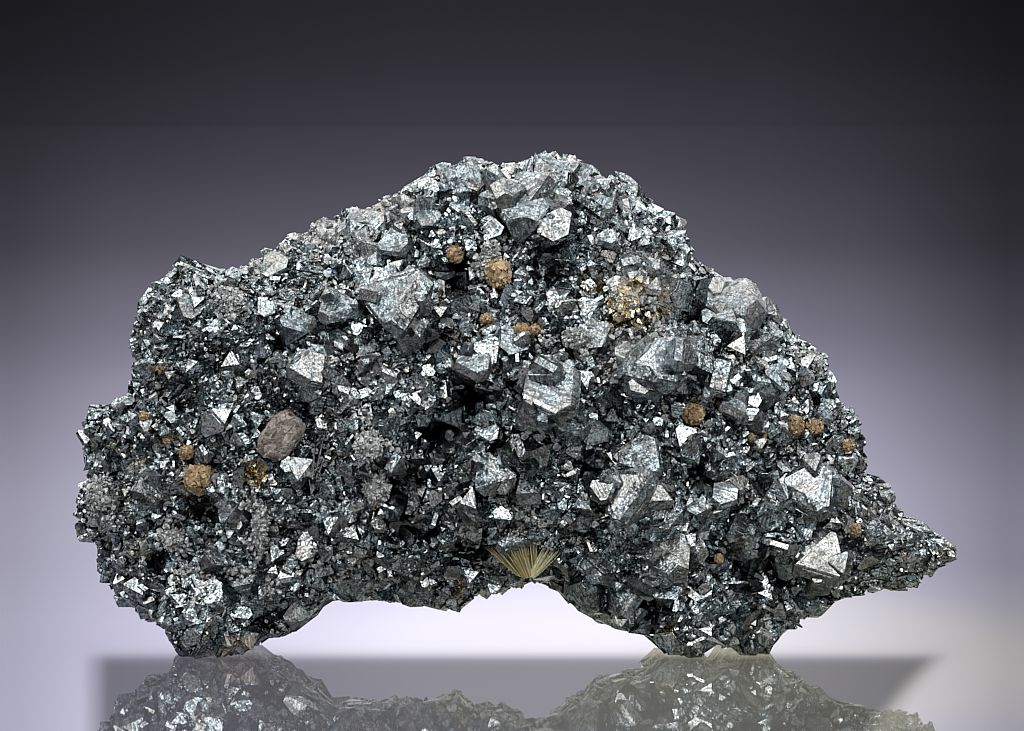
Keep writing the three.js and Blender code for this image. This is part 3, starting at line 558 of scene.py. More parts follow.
def steel_grey(name, bright, dark, sparkle, cell, rough, shade=0.35, cracks=0.0):
    """Metallic sulphide. Each face has its own mark, which sets how mirror-like or etched it is. An etched
    face is a mosaic of tiny facets: cells of a Voronoi pattern, each with its own small tilt and grey."""
    made, tree, shader = fresh_material(name)
    link = tree.links.new
    spot = node_of(tree, "TexCoord").outputs["Object"]
    mark, dust, stain, painted_shade = (node_of(tree, "Attribute", attribute_name=label).outputs["Fac"]
                               for label in ("mark", "dust", "stain", "painted_shade"))
    mosaic = node_of(tree, "TexVoronoi", [("Scale", 1 / (cell * MM))])
    grit = node_of(tree, "TexVoronoi", [("Scale", 1 / (GRIT * MM))])
    scratch = node_of(tree, "TexNoise", [("Scale", 1.6 / (cell * MM)), ("Detail", 4.0), ("Roughness", 0.65)])
    cloud = node_of(tree, "TexNoise", [("Scale", 1 / (CLOUD * MM)), ("Detail", 4.0), ("Roughness", 0.65)])
    fleck = node_of(tree, "TexNoise", [("Scale", 1 / (FLECK * MM)), ("Detail", 0.0)])
    for texture in (mosaic, grit, scratch, cloud, fleck):
        link(spot, texture.inputs["Vector"])
    own_way = node_of(tree, "VectorRotate", [("Axis", (0.3, 1.0, 0.2))], rotation_type="AXIS_ANGLE")
    link(spot, own_way.inputs["Vector"])
    link(reckon(tree, "MULTIPLY", mark, 40.0), own_way.inputs["Angle"])
    drawn_out = node_of(tree, "VectorMath", [(1, (1.0, 0.12, 0.12))], operation="MULTIPLY")
    link(own_way.outputs[0], drawn_out.inputs[0])
    growth_lines = node_of(tree, "TexNoise", [("Scale", 1 / (LINE_WIDTH * MM)), ("Detail", 1.0)])
    link(drawn_out.outputs[0], growth_lines.inputs["Vector"])

    def shifted(colour, amount):
        level = node_of(tree, "VectorMath", [(1, (0.5, 0.5, 0.5))], operation="SUBTRACT")
        link(colour, level.inputs[0])
        scaled = node_of(tree, "VectorMath", operation="SCALE")
        link(level.outputs[0], scaled.inputs[0])
        link(amount, scaled.inputs["Scale"])
        return scaled.outputs[0]

    # The tilt of the facets: the mosaic's on etched faces alone, and the finer grit's on all
    etched = ramp_of(tree, mark, [(0.0, 0.04), (0.22, 0.12), (0.36, 0.55), (0.8, 1.0), (1.0, 0.7)])
    broad = shifted(mosaic.outputs["Color"], reckon(tree, "MULTIPLY", etched, sparkle))
    slight = shifted(grit.outputs["Color"], reckon(tree, "MULTIPLY_ADD", etched, 1.1 * sparkle,
                                                   0.15 * sparkle))
    facing = node_of(tree, "NewGeometry").outputs["Normal"]
    for tilt in (broad, slight):
        lean = node_of(tree, "VectorMath", operation="ADD")
        link(tilt, lean.inputs[0])
        link(facing, lean.inputs[1])
        facing = lean.outputs[0]
    level = node_of(tree, "VectorMath", operation="NORMALIZE")
    link(facing, level.inputs[0])
    bump = node_of(tree, "Bump", [("Distance", 0.00004)])
    link(reckon(tree, "MULTIPLY_ADD", etched, 0.3, 0.08), bump.inputs["Strength"])
    link(reckon(tree, "MULTIPLY_ADD", growth_lines.outputs["Fac"], 1.6, scratch.outputs["Fac"]),
         bump.inputs["Height"])
    link(level.outputs[0], bump.inputs["Normal"])
    link(bump.outputs[0], shader.inputs["Normal"])

    # The grey of the facets, then painted shade in hollows and crevices, stains and dust over it
    single, speck = node_of(tree, "SeparateColor"), node_of(tree, "SeparateColor")
    link(mosaic.outputs["Color"], single.inputs[0])
    link(grit.outputs["Color"], speck.inputs[0])
    tarnish = reckon(tree, "ADD", reckon(tree, "MULTIPLY", single.outputs[0], 0.55),
                     reckon(tree, "MULTIPLY", scratch.outputs["Fac"], 0.6))
    patchy = ramp_of(tree, tarnish, [(shade - 0.03, 0.0), (shade + 0.17, 1.0)])
    clean = reckon(tree, "MAXIMUM", patchy, reckon(tree, "SUBTRACT", 1.0, etched))
    clean = reckon(tree, "MULTIPLY", clean, ramp_of(tree, speck.outputs[1], [(0.1, 0.25), (0.4, 1.0)]))
    clean = reckon(tree, "MULTIPLY", clean, ramp_of(tree, cloud.outputs["Fac"], [(0.36, 0.6), (0.54, 1.0)]))
    polished = reckon(tree, "MULTIPLY", reckon(tree, "SUBTRACT", 1.0, etched), 0.7)
    for noise, steps in ((fleck, [(0.36, 0.45), (0.46, 1.0)]), (growth_lines, [(0.43, 0.35), (0.49, 1.0)])):
        broken = reckon(tree, "MAXIMUM", polished, ramp_of(tree, noise.outputs["Fac"], steps))
        clean = reckon(tree, "MULTIPLY", clean, broken)
    if cracks:
        shard = node_of(tree, "TexVoronoi", [("Scale", 1 / (cracks * MM))], feature="DISTANCE_TO_EDGE")
        link(spot, shard.inputs["Vector"])
        wobble = reckon(tree, "MULTIPLY_ADD", scratch.outputs["Fac"], 0.09, -0.04)
        clean = reckon(tree, "MULTIPLY", clean, ramp_of(tree,
                                                        reckon(tree, "ADD", shard.outputs["Distance"],
                                                               wobble),
                                                        [(0.0, 0.2), (0.05, 1.0)]))
    # Painted shade darkens faces towards the dark colour
    clean = reckon(tree, "MULTIPLY", clean, reckon(tree, "SUBTRACT", 1.0, painted_shade, clamp=True))

    def over(factor, below, above):
        mix = node_of(tree, "Mix", data_type="RGBA")
        link(factor, mix.inputs[0])
        for number, colour in ((6, below), (7, above)):
            if isinstance(colour, tuple):
                mix.inputs[number].default_value = (*colour, 1.0)
            else:
                link(colour, mix.inputs[number])
        return mix.outputs[2]

    film = ramp_of(tree, stain, [(0.0, (0.78, 0.49, 0.09)), (0.4, (0.34, 0.19, 0.09)),
                                 (0.6, (0.22, 0.19, 0.08)),
                                 (0.9, (0.03, 0.04, 0.13))], "CONSTANT")
    stained = reckon(tree, "MULTIPLY", ramp_of(tree, stain, [(0.0, 0.0), (0.1, 0.9)], "CONSTANT"),
                     ramp_of(tree, speck.outputs[2], [(0.45, 0.1), (0.5, 1.0)]))
    stained = reckon(tree, "MULTIPLY", stained, ramp_of(tree, scratch.outputs["Fac"],
                                                        [(0.46, 0.0), (0.52, 1.0)]))
    earthy = ramp_of(tree, stain, [(0.0, 0.0), (0.4, 0.9), (0.9, 0.3)], "CONSTANT")
    cast = ramp_of(tree, reckon(tree, "MULTIPLY_ADD", mark, 0.3, cloud.outputs["Fac"]),
                   [(0.5, tuple(c * t for c, t in zip(bright, WARM_CAST))),
                    (0.72, tuple(c * t for c, t in zip(bright, COLD_CAST)))])
    colour = over(stained, over(clean, dark, cast), film)
    dusted = reckon(tree, "MULTIPLY", dust, ramp_of(tree, scratch.outputs["Fac"], [(0.35, 0.25), (0.6, 1.0)]))
    powder = ramp_of(tree, speck.outputs[0], [(0.0, (0.10, 0.10, 0.10)), (0.5, (0.28, 0.275, 0.27)),
                                              (1.0, (0.60, 0.59, 0.57))])
    link(over(dusted, colour, powder), shader.inputs["Base Color"])
    dull = reckon(tree, "MAXIMUM", dusted, earthy)
    link(reckon(tree, "SUBTRACT", 1.0, reckon(tree, "MULTIPLY", dull, 0.9)), shader.inputs["Metallic"])
    gloss = ramp_of(tree, mark, [(0.0, rough * 0.6), (0.5, rough), (1.0, rough * 1.5)])
    link(reckon(tree, "ADD", gloss, reckon(tree, "MULTIPLY", dull, 0.4)), shader.inputs["Roughness"])
    return made


def rough_ball(middle_at, half_sizes, cell, depth, seed, steps):
    """A ball of the given half-sizes whose surface is broken into tilted planes of about that cell."""
    share, turn, side, triangles = closed_grid(steps)
    down = share * math.pi / 2
    way = np.column_stack([np.sin(down) * np.cos(turn), side * np.cos(down), np.sin(down) * np.sin(turn)])
    height, _ = crystal_planes(way, cell, seed)
    swell, _ = crystal_planes(way, cell * 2.2, seed + 5)
    points = way * half_sizes * (1 + depth * height + depth * swell)[:, None] + middle_at
    _, marks = crystal_planes(way[triangles].mean(axis=1), cell, seed)
    return points, triangles, marks


def gathered(parts):
    """Several (points, triangles, marks) as one."""
    shifts = np.cumsum([0] + [len(points) for points, _, _ in parts[:-1]])
    return (np.concatenate([points for points, _, _ in parts]),
            np.concatenate([triangles + shift for (_, triangles, _), shift in zip(parts, shifts)]),
            np.concatenate([marks for _, _, marks in parts]))


PLATE_STEPS = 164
COARSE_CELL = 2.6
COARSE_RELIEF = 0.75
FINE_CELL = 1.1
FINE_RELIEF = 0.34
RELIEF_SINK = 0.25
draw = np.random.default_rng(7)
share, turn, side, plate_triangles = closed_grid(PLATE_STEPS)
reach = reach_at(turn) * share ** 0.9
plate_x = CENTRE[0] + reach * np.cos(turn)
plate_z = CENTRE[1] + reach * np.sin(turn)
front_y = depth_at(plate_x, plate_z, -1) + mound_sum(hole_mounds, plate_x, plate_z)
plate_y = np.where(side < 0, np.minimum(front_y, 2.0), depth_at(plate_x, plate_z, 1))
plate_y[share > 1 - 1e-9] = 0.0
plate_points = np.column_stack([plate_x, plate_y, plate_z])
plate_out = corner_normals(plate_points, plate_triangles)
coarse, _ = crystal_planes(plate_points, COARSE_CELL, 11.0)
fine, _ = crystal_planes(plate_points, FINE_CELL, 57.0)
plate_points = plate_points + plate_out * (COARSE_RELIEF * coarse + FINE_RELIEF * fine - RELIEF_SINK)[:, None]
lumps = [rough_ball(np.array(lump[:3]), np.full(3, lump[3]), 0.42, 0.05, 9.0 * n, 22) for n,
         lump in enumerate(LUMPS)]
plate_points, plate_triangles, _ = gathered([(plate_points, plate_triangles,
                                              np.zeros(len(plate_triangles)))] + lumps)
plate_points = held_in(plate_points)
plate_middles = plate_points[plate_triangles].mean(axis=1)
_, plate_marks = crystal_planes(plate_middles, FINE_CELL, 57.0)
plate_finish = steel_grey("massive_ore", (0.44, 0.455, 0.46), (0.03, 0.032, 0.035), 0.45, 0.34, 0.28, 0.40)
mesh_piece("ore_plate", plate_points, plate_triangles, surface_marks(plate_middles, plate_marks, draw),
           plate_finish, replaces=["tennantite_mass"])


# The large crystals: sharp tetrahedra of tennantite with the opposite tetrahedron and the cube on their
# corners. Growth left each face in low steps round a hillock, and some faces etched into a mosaic.
LARGE_CRYSTALS = [
    (0.4, 49.8, 4.3, 0.4, 8, 42, 12), (3.6, 53.2, 3.5, -1.2, -20, 30, 70), (-5.6, 53.3, 2.7, 0.8, -6, 24, 62),
    (-8.6, 54.0, 2.0, 0.0, -30, 40, 20), (7.6, 53.0, 2.4, 0.6, 24, 34, 95),
    (9.6, 50.6, 2.5, 0.8, 10, 44, 150),
    (13.0, 52.4, 2.6, -0.4, 40, 26, 33), (-13.2, 46.0, 2.3, 0.6, -14, 30, 48),
    (-12.8, 39.4, 4.2, 0.6, -24, 38, 110),
    (-19.6, 38.8, 2.6, 1.0, -8, 46, 80), (-26.6, 43.4, 2.0, 0.2, -26, 34, 5),
    (-22.6, 32.2, 2.8, 0.8, -28, 20, 130),
    (-36.4, 38.6, 2.0, 0.4, 18, 40, 66), (-25.0, 37.0, 2.0, 0.6, 30, 36, 24),
    (-4.6, 32.8, 2.3, 0.9, 6, 40, 160),
    (4.4, 29.6, 4.0, 0.8, -12, 34, 28), (6.0, 26.2, 2.2, 1.0, 30, 42, 75),
    (15.4, 32.6, 3.9, 0.7, -32, 26, 14),
    (-2.6, 20.4, 2.8, 1.0, 26, 30, 118), (14.0, 22.6, 2.9, 1.2, -4, 27, 52),
    (12.8, 18.6, 3.6, 0.8, -34, 22, 84),
    (17.4, 11.2, 3.1, 1.0, -20, 30, 140), (9.4, 10.0, 2.1, 0.9, 14, 40, 31),
    (12.6, 6.6, 2.7, 0.5, -26, 18, 99),
    (33.2, 18.6, 3.7, 1.1, -18, 26, 22), (34.2, 10.6, 3.4, 1.3, -5, 16, 63),
    (31.8, 5.4, 2.3, 0.6, 22, 38, 121),
    (24.4, 27.8, 2.1, 0.8, 20, 48, 45), (27.6, 34.6, 2.4, 0.4, -16, 36, 91),
    (24.6, 38.8, 4.4, -0.8, 4, 58, 37),
    (22.4, 31.4, 2.4, 0.5, -40, 20, 101), (-40.8, 18.4, 2.0, 0.7, 36, 28, 71),
    (-24.2, 21.0, 2.2, 0.7, 12, 30, 143),
    (-30.2, 8.6, 2.0, 0.8, -12, 40, 127), (22.0, 5.2, 2.0, 0.7, -30, 36, 77),
    (26.4, 2.6, 2.3, 0.6, 8, 44, 10),
    (0.4, 23.0, 2.1, 0.7, -28, 24, 36), (0.0, 13.8, 2.6, 0.6, 10, 16, 111),
    (-0.8, 35.2, 2.0, 0.4, 30, 26, 67),
    (8.8, 36.0, 2.0, 0.2, 0, 20, 90),
    (-17.0, 46.8, 1.7, 0.6, 12, 36, 15), (-6.4, 23.9, 1.9, 0.9, -22, 28, 40),
    (-8.8, 22.4, 1.1, 0.9, 20, 42, 12),
    (28.8, 31.0, 1.8, 0.7, 34, 30, 8), (20.2, 17.0, 1.8, 0.6, 16, 34, 57),
    (-31.4, 16.4, 1.9, 0.2, -36, 32, 19),
    (-33.2, 11.0, 1.8, 0.8, 24, 42, 88), (-9.6, 48.6, 1.6, 0.6, -10, 44, 54),
]
CRYSTAL_SPAN = 1.55
TETRAHEDRON = np.array([(1, 1, 1), (1, -1, -1), (-1, 1, -1), (-1, -1, 1)], float)
CUBE = np.array([(1, 0, 0), (-1, 0, 0), (0, 1, 0), (0, -1, 0), (0, 0, 1), (0, 0, -1)], float)
BEVELS = np.array([face * stretch for face in TETRAHEDRON for stretch in ((2, 1, 1), (1, 2, 1), (1, 1, 2))],
                  float)
SINK = 0.22
RIM_SPACE = 0.8


def crystal_faces(seed, full, bevels=False):
    """Directions and distances of a crystal's faces: tetrahedron, opposite tetrahedron, the cube if full, and
    for bevels the twelve faces that lean off the tetrahedron's own towards its edges."""
    uneven = 0.86 + 0.28 * chance(seed * 17 + np.arange(26.0))
    ways = [TETRAHEDRON, -TETRAHEDRON] + ([CUBE] if full else []) + ([BEVELS] if bevels else [])
    reaches = [uneven[:4], (1.5 if full else 1.4) * uneven[4:8]] + ([1.25 * uneven[8:14]] if full else [])
    reaches = reaches + ([1.06 + 0.5 * (uneven[14:] - 0.86)] if bevels else [])
    return unit(np.concatenate(ways)), np.concatenate(reaches)


def cut_crystal(ways, reaches):
    """Corners and ringed faces of the space inside all the planes: three planes meet at each corner."""
    trios = np.array(list(itertools.combinations(range(len(ways)), 3)))
    trios = trios[np.abs(np.linalg.det(ways[trios])) > 1e-6]
    corners = np.linalg.solve(ways[trios], reaches[trios][..., None])[..., 0]
    corners = corners[(corners @ ways.T <= reaches + 1e-7).all(axis=1)]
    corners = np.unique(np.round(corners, 6), axis=0)
    faces = []
    for way, reach in zip(ways, reaches):
        ring = np.flatnonzero(np.abs(corners @ way - reach) < 1e-5)
        if len(ring) > 2:
            out = corners[ring] - corners[ring].mean(axis=0)
            first = unit(out[0])
            faces.append(ring[np.argsort(np.arctan2(out @ np.cross(way, first), out @ first))])
    return corners, faces


def turn_about(way, angle):
    """The matrix that turns about a direction: Rodrigues' formula."""
    x, y, z = way
    cross = np.array([(0, -z, y), (z, 0, -x), (-y, x, 0)])
    return np.eye(3) + math.sin(angle) * cross + (1 - math.cos(angle)) * cross @ cross


def crystal_turn(side, up, spin):
    """Turns a tetrahedron face to look out at side and up degrees, then spins it about that direction."""
    a, e = math.radians(side), math.radians(up)
    look = np.array([math.sin(a) * math.cos(e), -math.cos(a) * math.cos(e), math.sin(e)])
    start = unit(np.ones(3))
    axis = np.cross(start, look)
    aim = turn_about(unit(axis), math.atan2(np.linalg.norm(axis), start @ look))
    return turn_about(look, math.radians(spin)) @ aim


def stepped_crystal(corners, faces, draw, steps, height, broad=99):
    """Each face rises in low terraces towards a hillock: rings of the face's corners drawn in towards one
    point of it, each ring twice, below and above its step, and a fan over the last. Past the first broad
    faces, the rest stay plain."""
    points, triangles, marks = [corners], [], []
    count = len(corners)
    for number, ring in enumerate(faces):
        size = len(ring)
        if number >= broad:
            triangles.append(np.stack([np.full(size - 2, ring[0]), ring[1:-1], ring[2:]], 1))
            marks.append(np.full(size - 2, draw.random()))
            continue
        bound = corners[ring]
        out = unit(np.cross(bound[1] - bound[0], bound[2] - bound[0]))
        weights = draw.dirichlet(np.ones(size))
        hill = 0.45 * bound.mean(axis=0) + 0.55 * weights @ bound
        levels = np.sort(draw.uniform(0.08, 0.9, steps))
        rises = np.cumsum(draw.uniform(0.3, 1.0, steps)) * height
        before, own = ring, 0.9 * draw.random()
        for level, low, high in zip(levels, np.concatenate([[0.0], rises[:-1]]), rises):
            for inset, lift in ((level, low), (level + 0.015, high)):
                now = count + np.arange(size)
                points.append(bound + (hill - bound) * inset + out * lift)
                count += size
                nxt_b, nxt_n = np.roll(before, -1), np.roll(now, -1)
                triangles += [np.stack([before, nxt_b, nxt_n], 1), np.stack([before, nxt_n, now], 1)]
                marks.append(np.full(2 * size, own + 0.1 * draw.random()))
                before = now
        points.append((hill + out * (rises[-1] if steps else 0.0))[None])
        triangles.append(np.stack([before, np.roll(before, -1), np.full(size, count)], 1))
        marks.append(np.full(size, own + 0.1 * draw.random()))
        count += 1
    return np.concatenate(points), np.concatenate(triangles), np.concatenate(marks)


large_parts = []
large_balls = []
for n, (x, z, size, proud, side, up, spin) in enumerate(LARGE_CRYSTALS):
    centre = np.array([x, depth_at(np.array([x]), np.array([z]), -1)[0] - proud + SINK * size, z])
    turned = crystal_turn(side, up, spin)
    large_balls.append((*centre, size))
    corners, faces = cut_crystal(*crystal_faces(n + 1, size > 2.0, size > 2.5))
    points, triangles, marks = stepped_crystal(corners, faces, draw, 2, 0.02)
    large_parts.append(((points * size / CRYSTAL_SPAN) @ turned.T + centre, triangles, marks))

    # Smaller crystals that share its growth, each on one shoulder of it
    for k in range(2 + int(size > 2.4) + int(size > 3.3)):
        round_turn = draw.uniform(0, 2 * math.pi)
        out = size * draw.uniform(0.55, 0.85)
        child = size * draw.uniform(0.32, 0.55)
        spot = centre + np.array([out * math.cos(round_turn), size * draw.uniform(-0.45, 0.1),
                                  out * math.sin(round_turn)])
        outward = spot[[0, 2]] - CENTRE
        if furthest(math.atan2(outward[1], outward[0])) < np.hypot(*outward) + RIM_SPACE * child:
            continue
        corners, faces = cut_crystal(*crystal_faces(1000 + 7 * n + k, child > 1.0))
        points, triangles, marks = stepped_crystal(corners, faces, draw, 1, 0.02, 6)
        own_turn = turn_about(unit(draw.normal(size=3)), draw.uniform(0.3, 1.6)) @ turned
        large_parts.append(((points * child / CRYSTAL_SPAN) @ own_turn.T + spot, triangles, marks))
        large_balls.append((*spot, child))
large_balls = np.array(large_balls)
points, triangles, marks = gathered(large_parts)
points = held_in(points)
crystal_finish = steel_grey("crystal_faces", (0.48, 0.50, 0.505), (0.07, 0.074, 0.078), 0.34, 0.6, 0.26, 0.30,
                            1.5)
mesh_piece("large_crystals", points, triangles, surface_marks(points[triangles].mean(axis=1), marks, draw),
           crystal_finish, replaces=["tennantite_mass"])


# The druse: thousands of smaller crystals of the same habit, crowded over the whole plate in every
# direction. They grew at random from it, mid-sized ones first, and a finer crust filled the gaps.
BALL_PLACES = np.array([
    (-1.9, 43.0, 1.6), (-6.6, 45.1, 1.1), (0.6, 36.5, 1.2), (2.2, 36.8, 0.7), (10.2, 36.9, 0.9),
    (-3.2, 38.0, 0.7), (19.8, 27.4, 1.3), (31.3, 25.9, 1.15), (33.5, 25.7, 1.1), (37.4, 23.5, 0.85),
    (27.8, 25.0, 0.6), (26.3, 24.7, 0.5), (38.1, 14.1, 0.8), (22.7, 11.2, 0.6), (-35.1, 20.1, 1.9),
    (-31.3, 15.2, 0.65), (-41.6, 26.9, 0.7), (-38.8, 24.4, 0.65), (-36.6, 23.0, 0.9), (36.5, 17.9, 0.65),
])
QUARTZ_PLACES = np.array([
    (-2.7, 45.4, 1.1, 1.3, 10), (-38.1, 13.3, 1.5, 1.4, 0), (-28.3, 15.2, 1.0, 2.9, -12),
    (-31.1, 39.9, 1.2, 1.1, 0), (6.8, 36.0, 1.7, 1.2, 0), (-16.2, 24.2, 1.7, 2.0, 15),
    (-15.4, 19.2, 1.7, 1.9, -10), (33.8, 32.9, 1.0, 0.9, 0), (-17.0, 8.3, 1.8, 1.0, 8),
    (-47.0, 18.4, 1.4, 1.8, 10),
])
NODULE_PLACE = (-26.0, 25.0, 2.6)
CLEARANCE = 0.35
SWALLOWED = 0.74
TABLE_ROOM = 0.7
RIM_ROOM = 0.62
# Painted shade on the lower faces of each druse crystal, where its neighbours would shade it
CREVICE_SHADE = 0.8
CREVICE_HEIGHT = 0.15
SPRAY_PLACE = (1.4, 10.9, 2.9)
kept_clear = np.array([(x, z, r) for x, z, r in BALL_PLACES] + [(x, z, max(w, h)) for x, z, w, h,
                                                                _ in QUARTZ_PLACES]
                      + [NODULE_PLACE, SPRAY_PLACE])
clear_middles = np.column_stack([kept_clear[:, 0], depth_at(kept_clear[:, 0], kept_clear[:, 1], -1),
                                 kept_clear[:, 1]])
p, q, r = (plate_points[plate_triangles[:, n]] for n in range(3))
plate_across = np.cross(q - p, r - p)
plate_areas = np.linalg.norm(plate_across, axis=1) / 2
plate_facing = plate_across / np.maximum(2 * plate_areas[:, None], 1e-12)


def coarseness(x, z):
    """How large the druse is at a place: full in the middle, finer on the left lobe, the dusty band and
    the tail."""
    left = smooth((x + 27) / 12)
    right = 1 - smooth((x - 34) / 8)
    band = 1 - 0.6 * oval_sum(DUSTY[:3], x, z)
    return (0.74 + 0.26 * left) * (0.5 + 0.5 * right) * band


def scattered(count, draw, front_share):
    """Even places on the plate by area: where each lies, and the way its triangle faces."""
    weight = plate_areas * np.where(plate_middles[:, 1] < 3.0, front_share, 1.0)
    total = np.cumsum(weight)
    pick = np.searchsorted(total, draw.random(count) * total[-1])
    pick = np.minimum(pick, len(total) - 1)
    u, v = draw.random(count), draw.random(count)
    u, v = np.where(u + v > 1, 1 - u, u)[:, None], np.where(u + v > 1, 1 - v, v)[:, None]
    a, b, c = (plate_points[plate_triangles[pick, n]] for n in range(3))
    return a + u * (b - a) + v * (c - a), plate_facing[pick]


def any_turn(count, draw):
    """Evenly random turns, as matrices, from random unit quaternions."""
    w, x, y, z = unit(draw.normal(size=(count, 4))).T
    return np.stack([
        np.stack([1 - 2 * (y * y + z * z), 2 * (x * y - z * w), 2 * (x * z + y * w)], -1),
        np.stack([2 * (x * y + z * w), 1 - 2 * (x * x + z * z), 2 * (y * z - x * w)], -1),
        np.stack([2 * (x * z - y * w), 2 * (y * z + x * w), 1 - 2 * (x * x + y * y)], -1),
    ], axis=1)


def fanned(corners, faces):
    """A convex crystal's triangles, each face a fan from its first corner, and the face each belongs to."""
    triangles = [np.stack([np.full(len(ring) - 2, ring[0]), ring[1:-1], ring[2:]], 1) for ring in faces]
    owners = [np.full(len(ring) - 2, n) for n, ring in enumerate(faces)]
    return corners, np.concatenate(triangles), np.concatenate(owners)


def crowd(places, sizes, turns, stretches, shapes, draw):
    """A copy of one of the shapes at each place, stretched along its own axes, turned and sized. Gives the
    points, triangles and marks, and the number of the copy that each triangle belongs to."""
    parts, face_owners = [], []
    kinds = draw.integers(len(shapes), size=len(places))
    for kind, (corners, triangles, owners) in enumerate(shapes):
        own = np.flatnonzero(kinds == kind)
        local = corners[None] * (stretches[own] * (sizes[own] / CRYSTAL_SPAN)[:, None])[:, None, :]
        points = np.einsum("nij,nmj->nmi", turns[own], local) + places[own][:, None, :]
        moved = triangles[None] + (np.arange(len(own)) * len(corners))[:, None, None]
        face_marks = draw.random((len(own), owners.max() + 1))[:, owners]
        parts.append((points.reshape(-1, 3), moved.reshape(-1, 3), face_marks.ravel()))
        face_owners.append(np.repeat(own, len(triangles)))
    return *gathered(parts), np.concatenate(face_owners)


def out_of_the_way(places, sizes):
    """True where a crystal neither covers a separate mineral nor is lost inside a large crystal."""
    free = np.ones(len(places), bool)
    for middle_at, radius in zip(clear_middles, kept_clear[:, 2]):
        free &= np.linalg.norm(places - middle_at, axis=1) > radius + CLEARANCE * sizes
    for ball in large_balls:
        free &= np.linalg.norm(places - ball[:3], axis=1) > SWALLOWED * ball[3]
    return free & (places[:, 2] > TABLE_ROOM * sizes)


def drawn_in(places, sizes):
    """Places too near the ragged line for their crystal's size are moved in towards the centre to fit."""
    across = places[:, [0, 2]] - CENTRE
    out = np.hypot(*across.T)
    spare = furthest(np.arctan2(across[:, 1], across[:, 0])) - out - RIM_ROOM * sizes
    held = across * (1 + np.minimum(spare, 0.0) / out)[:, None] + CENTRE
    return np.column_stack([held[:, 0], places[:, 1], held[:, 1]])


def druse(name, count, smallest, largest, lift, shapes, finish, draw, front_share=2.0, slim=0.12):
    """One layer of the druse. Sizes crowd towards the smallest, and a slim share of crystals are blades."""
    places, facing = scattered(count, draw, front_share)
    coarse = coarseness(places[:, 0], places[:, 2])
    sizes = (smallest + (largest - smallest) * draw.random(count) ** 2.2) * coarse
    stretches = draw.uniform(0.75, 1.25, (count, 3))
    blades = draw.random(count) < slim
    stretches[blades] *= (0.35, 1.1, 1.5)
    places = places + facing * (sizes * draw.uniform(lift - 0.25, lift + 0.25,
                                                     count) + 0.35 * (1 - coarse))[:, None]
    places = drawn_in(places, sizes)
    free = out_of_the_way(places, sizes)
    places, facing, sizes, stretches = places[free], facing[free], sizes[free], stretches[free]
    points, triangles, marks, owners = crowd(places, sizes, any_turn(len(places), draw), stretches, shapes,
                                             draw)
    points = held_in(points)
    middles = points[triangles].mean(axis=1)
    # Painted shade: the faces of each crystal that lie lowest, nearest the plate, are darkened
    height = ((middles - places[owners]) * facing[owners]).sum(axis=1) / sizes[owners]
    mesh_piece(name, points, triangles, surface_marks(middles, marks, draw,
                                                      CREVICE_SHADE * smooth((CREVICE_HEIGHT - height) / 0.8)),
               finish)


plain_shapes = [fanned(*cut_crystal(*crystal_faces(200 + n, False))) for n in range(16)]
full_shapes = [fanned(*cut_crystal(*crystal_faces(300 + n, True))) for n in range(16)]
stepped_shapes = []
for n in range(14):
    corners, triangles, marks = stepped_crystal(*cut_crystal(*crystal_faces(400 + n, n % 2 == 0)), draw, 1,
                                                0.03, 4)
    stepped_shapes.append((corners, triangles, np.unique(marks, return_inverse=True)[1]))
druse_finish = steel_grey("druse_faces", (0.60, 0.625, 0.63), (0.05, 0.053, 0.057), 0.22, 0.45, 0.16, 0.30)
druse("druse_medium", 1350, 1.0, 2.3, 0.05, stepped_shapes, druse_finish, draw, 3.0, 0.0)
druse("druse_small", 4900, 0.55, 1.4, 0.15, full_shapes, druse_finish, draw, 2.6)
druse("druse_fine_a", 7000, 0.25, 0.6, 0.3, plain_shapes, druse_finish, draw, 2.8)
druse("druse_fine_b", 7000, 0.22, 0.5, 0.45, plain_shapes, druse_finish, draw, 2.8)


# The siderite balls: twenty small rounded growths of tan carbonate, each a crowd of curved rhombs.
def earthy(name, colours, rough, grain, bumps, mottle=0.5):
    """A dull mineral: its colours run from crevice to crest by a fine noise, with a pitted skin."""
    made, tree, shader = fresh_material(name)
    link = tree.links.new
    spot = node_of(tree, "TexCoord").outputs["Object"]
    mark = node_of(tree, "Attribute", attribute_name="mark").outputs["Fac"]
    noise = node_of(tree, "TexNoise", [("Scale", 1 / (grain * MM)), ("Detail", 5.0), ("Roughness", 0.6)])
    link(spot, noise.inputs["Vector"])
    tone = reckon(tree, "ADD", reckon(tree, "MULTIPLY", noise.outputs["Fac"], 1 - mottle),
                  reckon(tree, "MULTIPLY", mark, mottle))
    link(ramp_of(tree, tone, list(zip((0.2, 0.45, 0.62, 0.85), colours))), shader.inputs["Base Color"])
    bump = node_of(tree, "Bump", [("Strength", bumps), ("Distance", 0.00006)])
    link(noise.outputs["Fac"], bump.inputs["Height"])
    link(bump.outputs[0], shader.inputs["Normal"])
    shader.inputs["Roughness"].default_value = rough
    return made


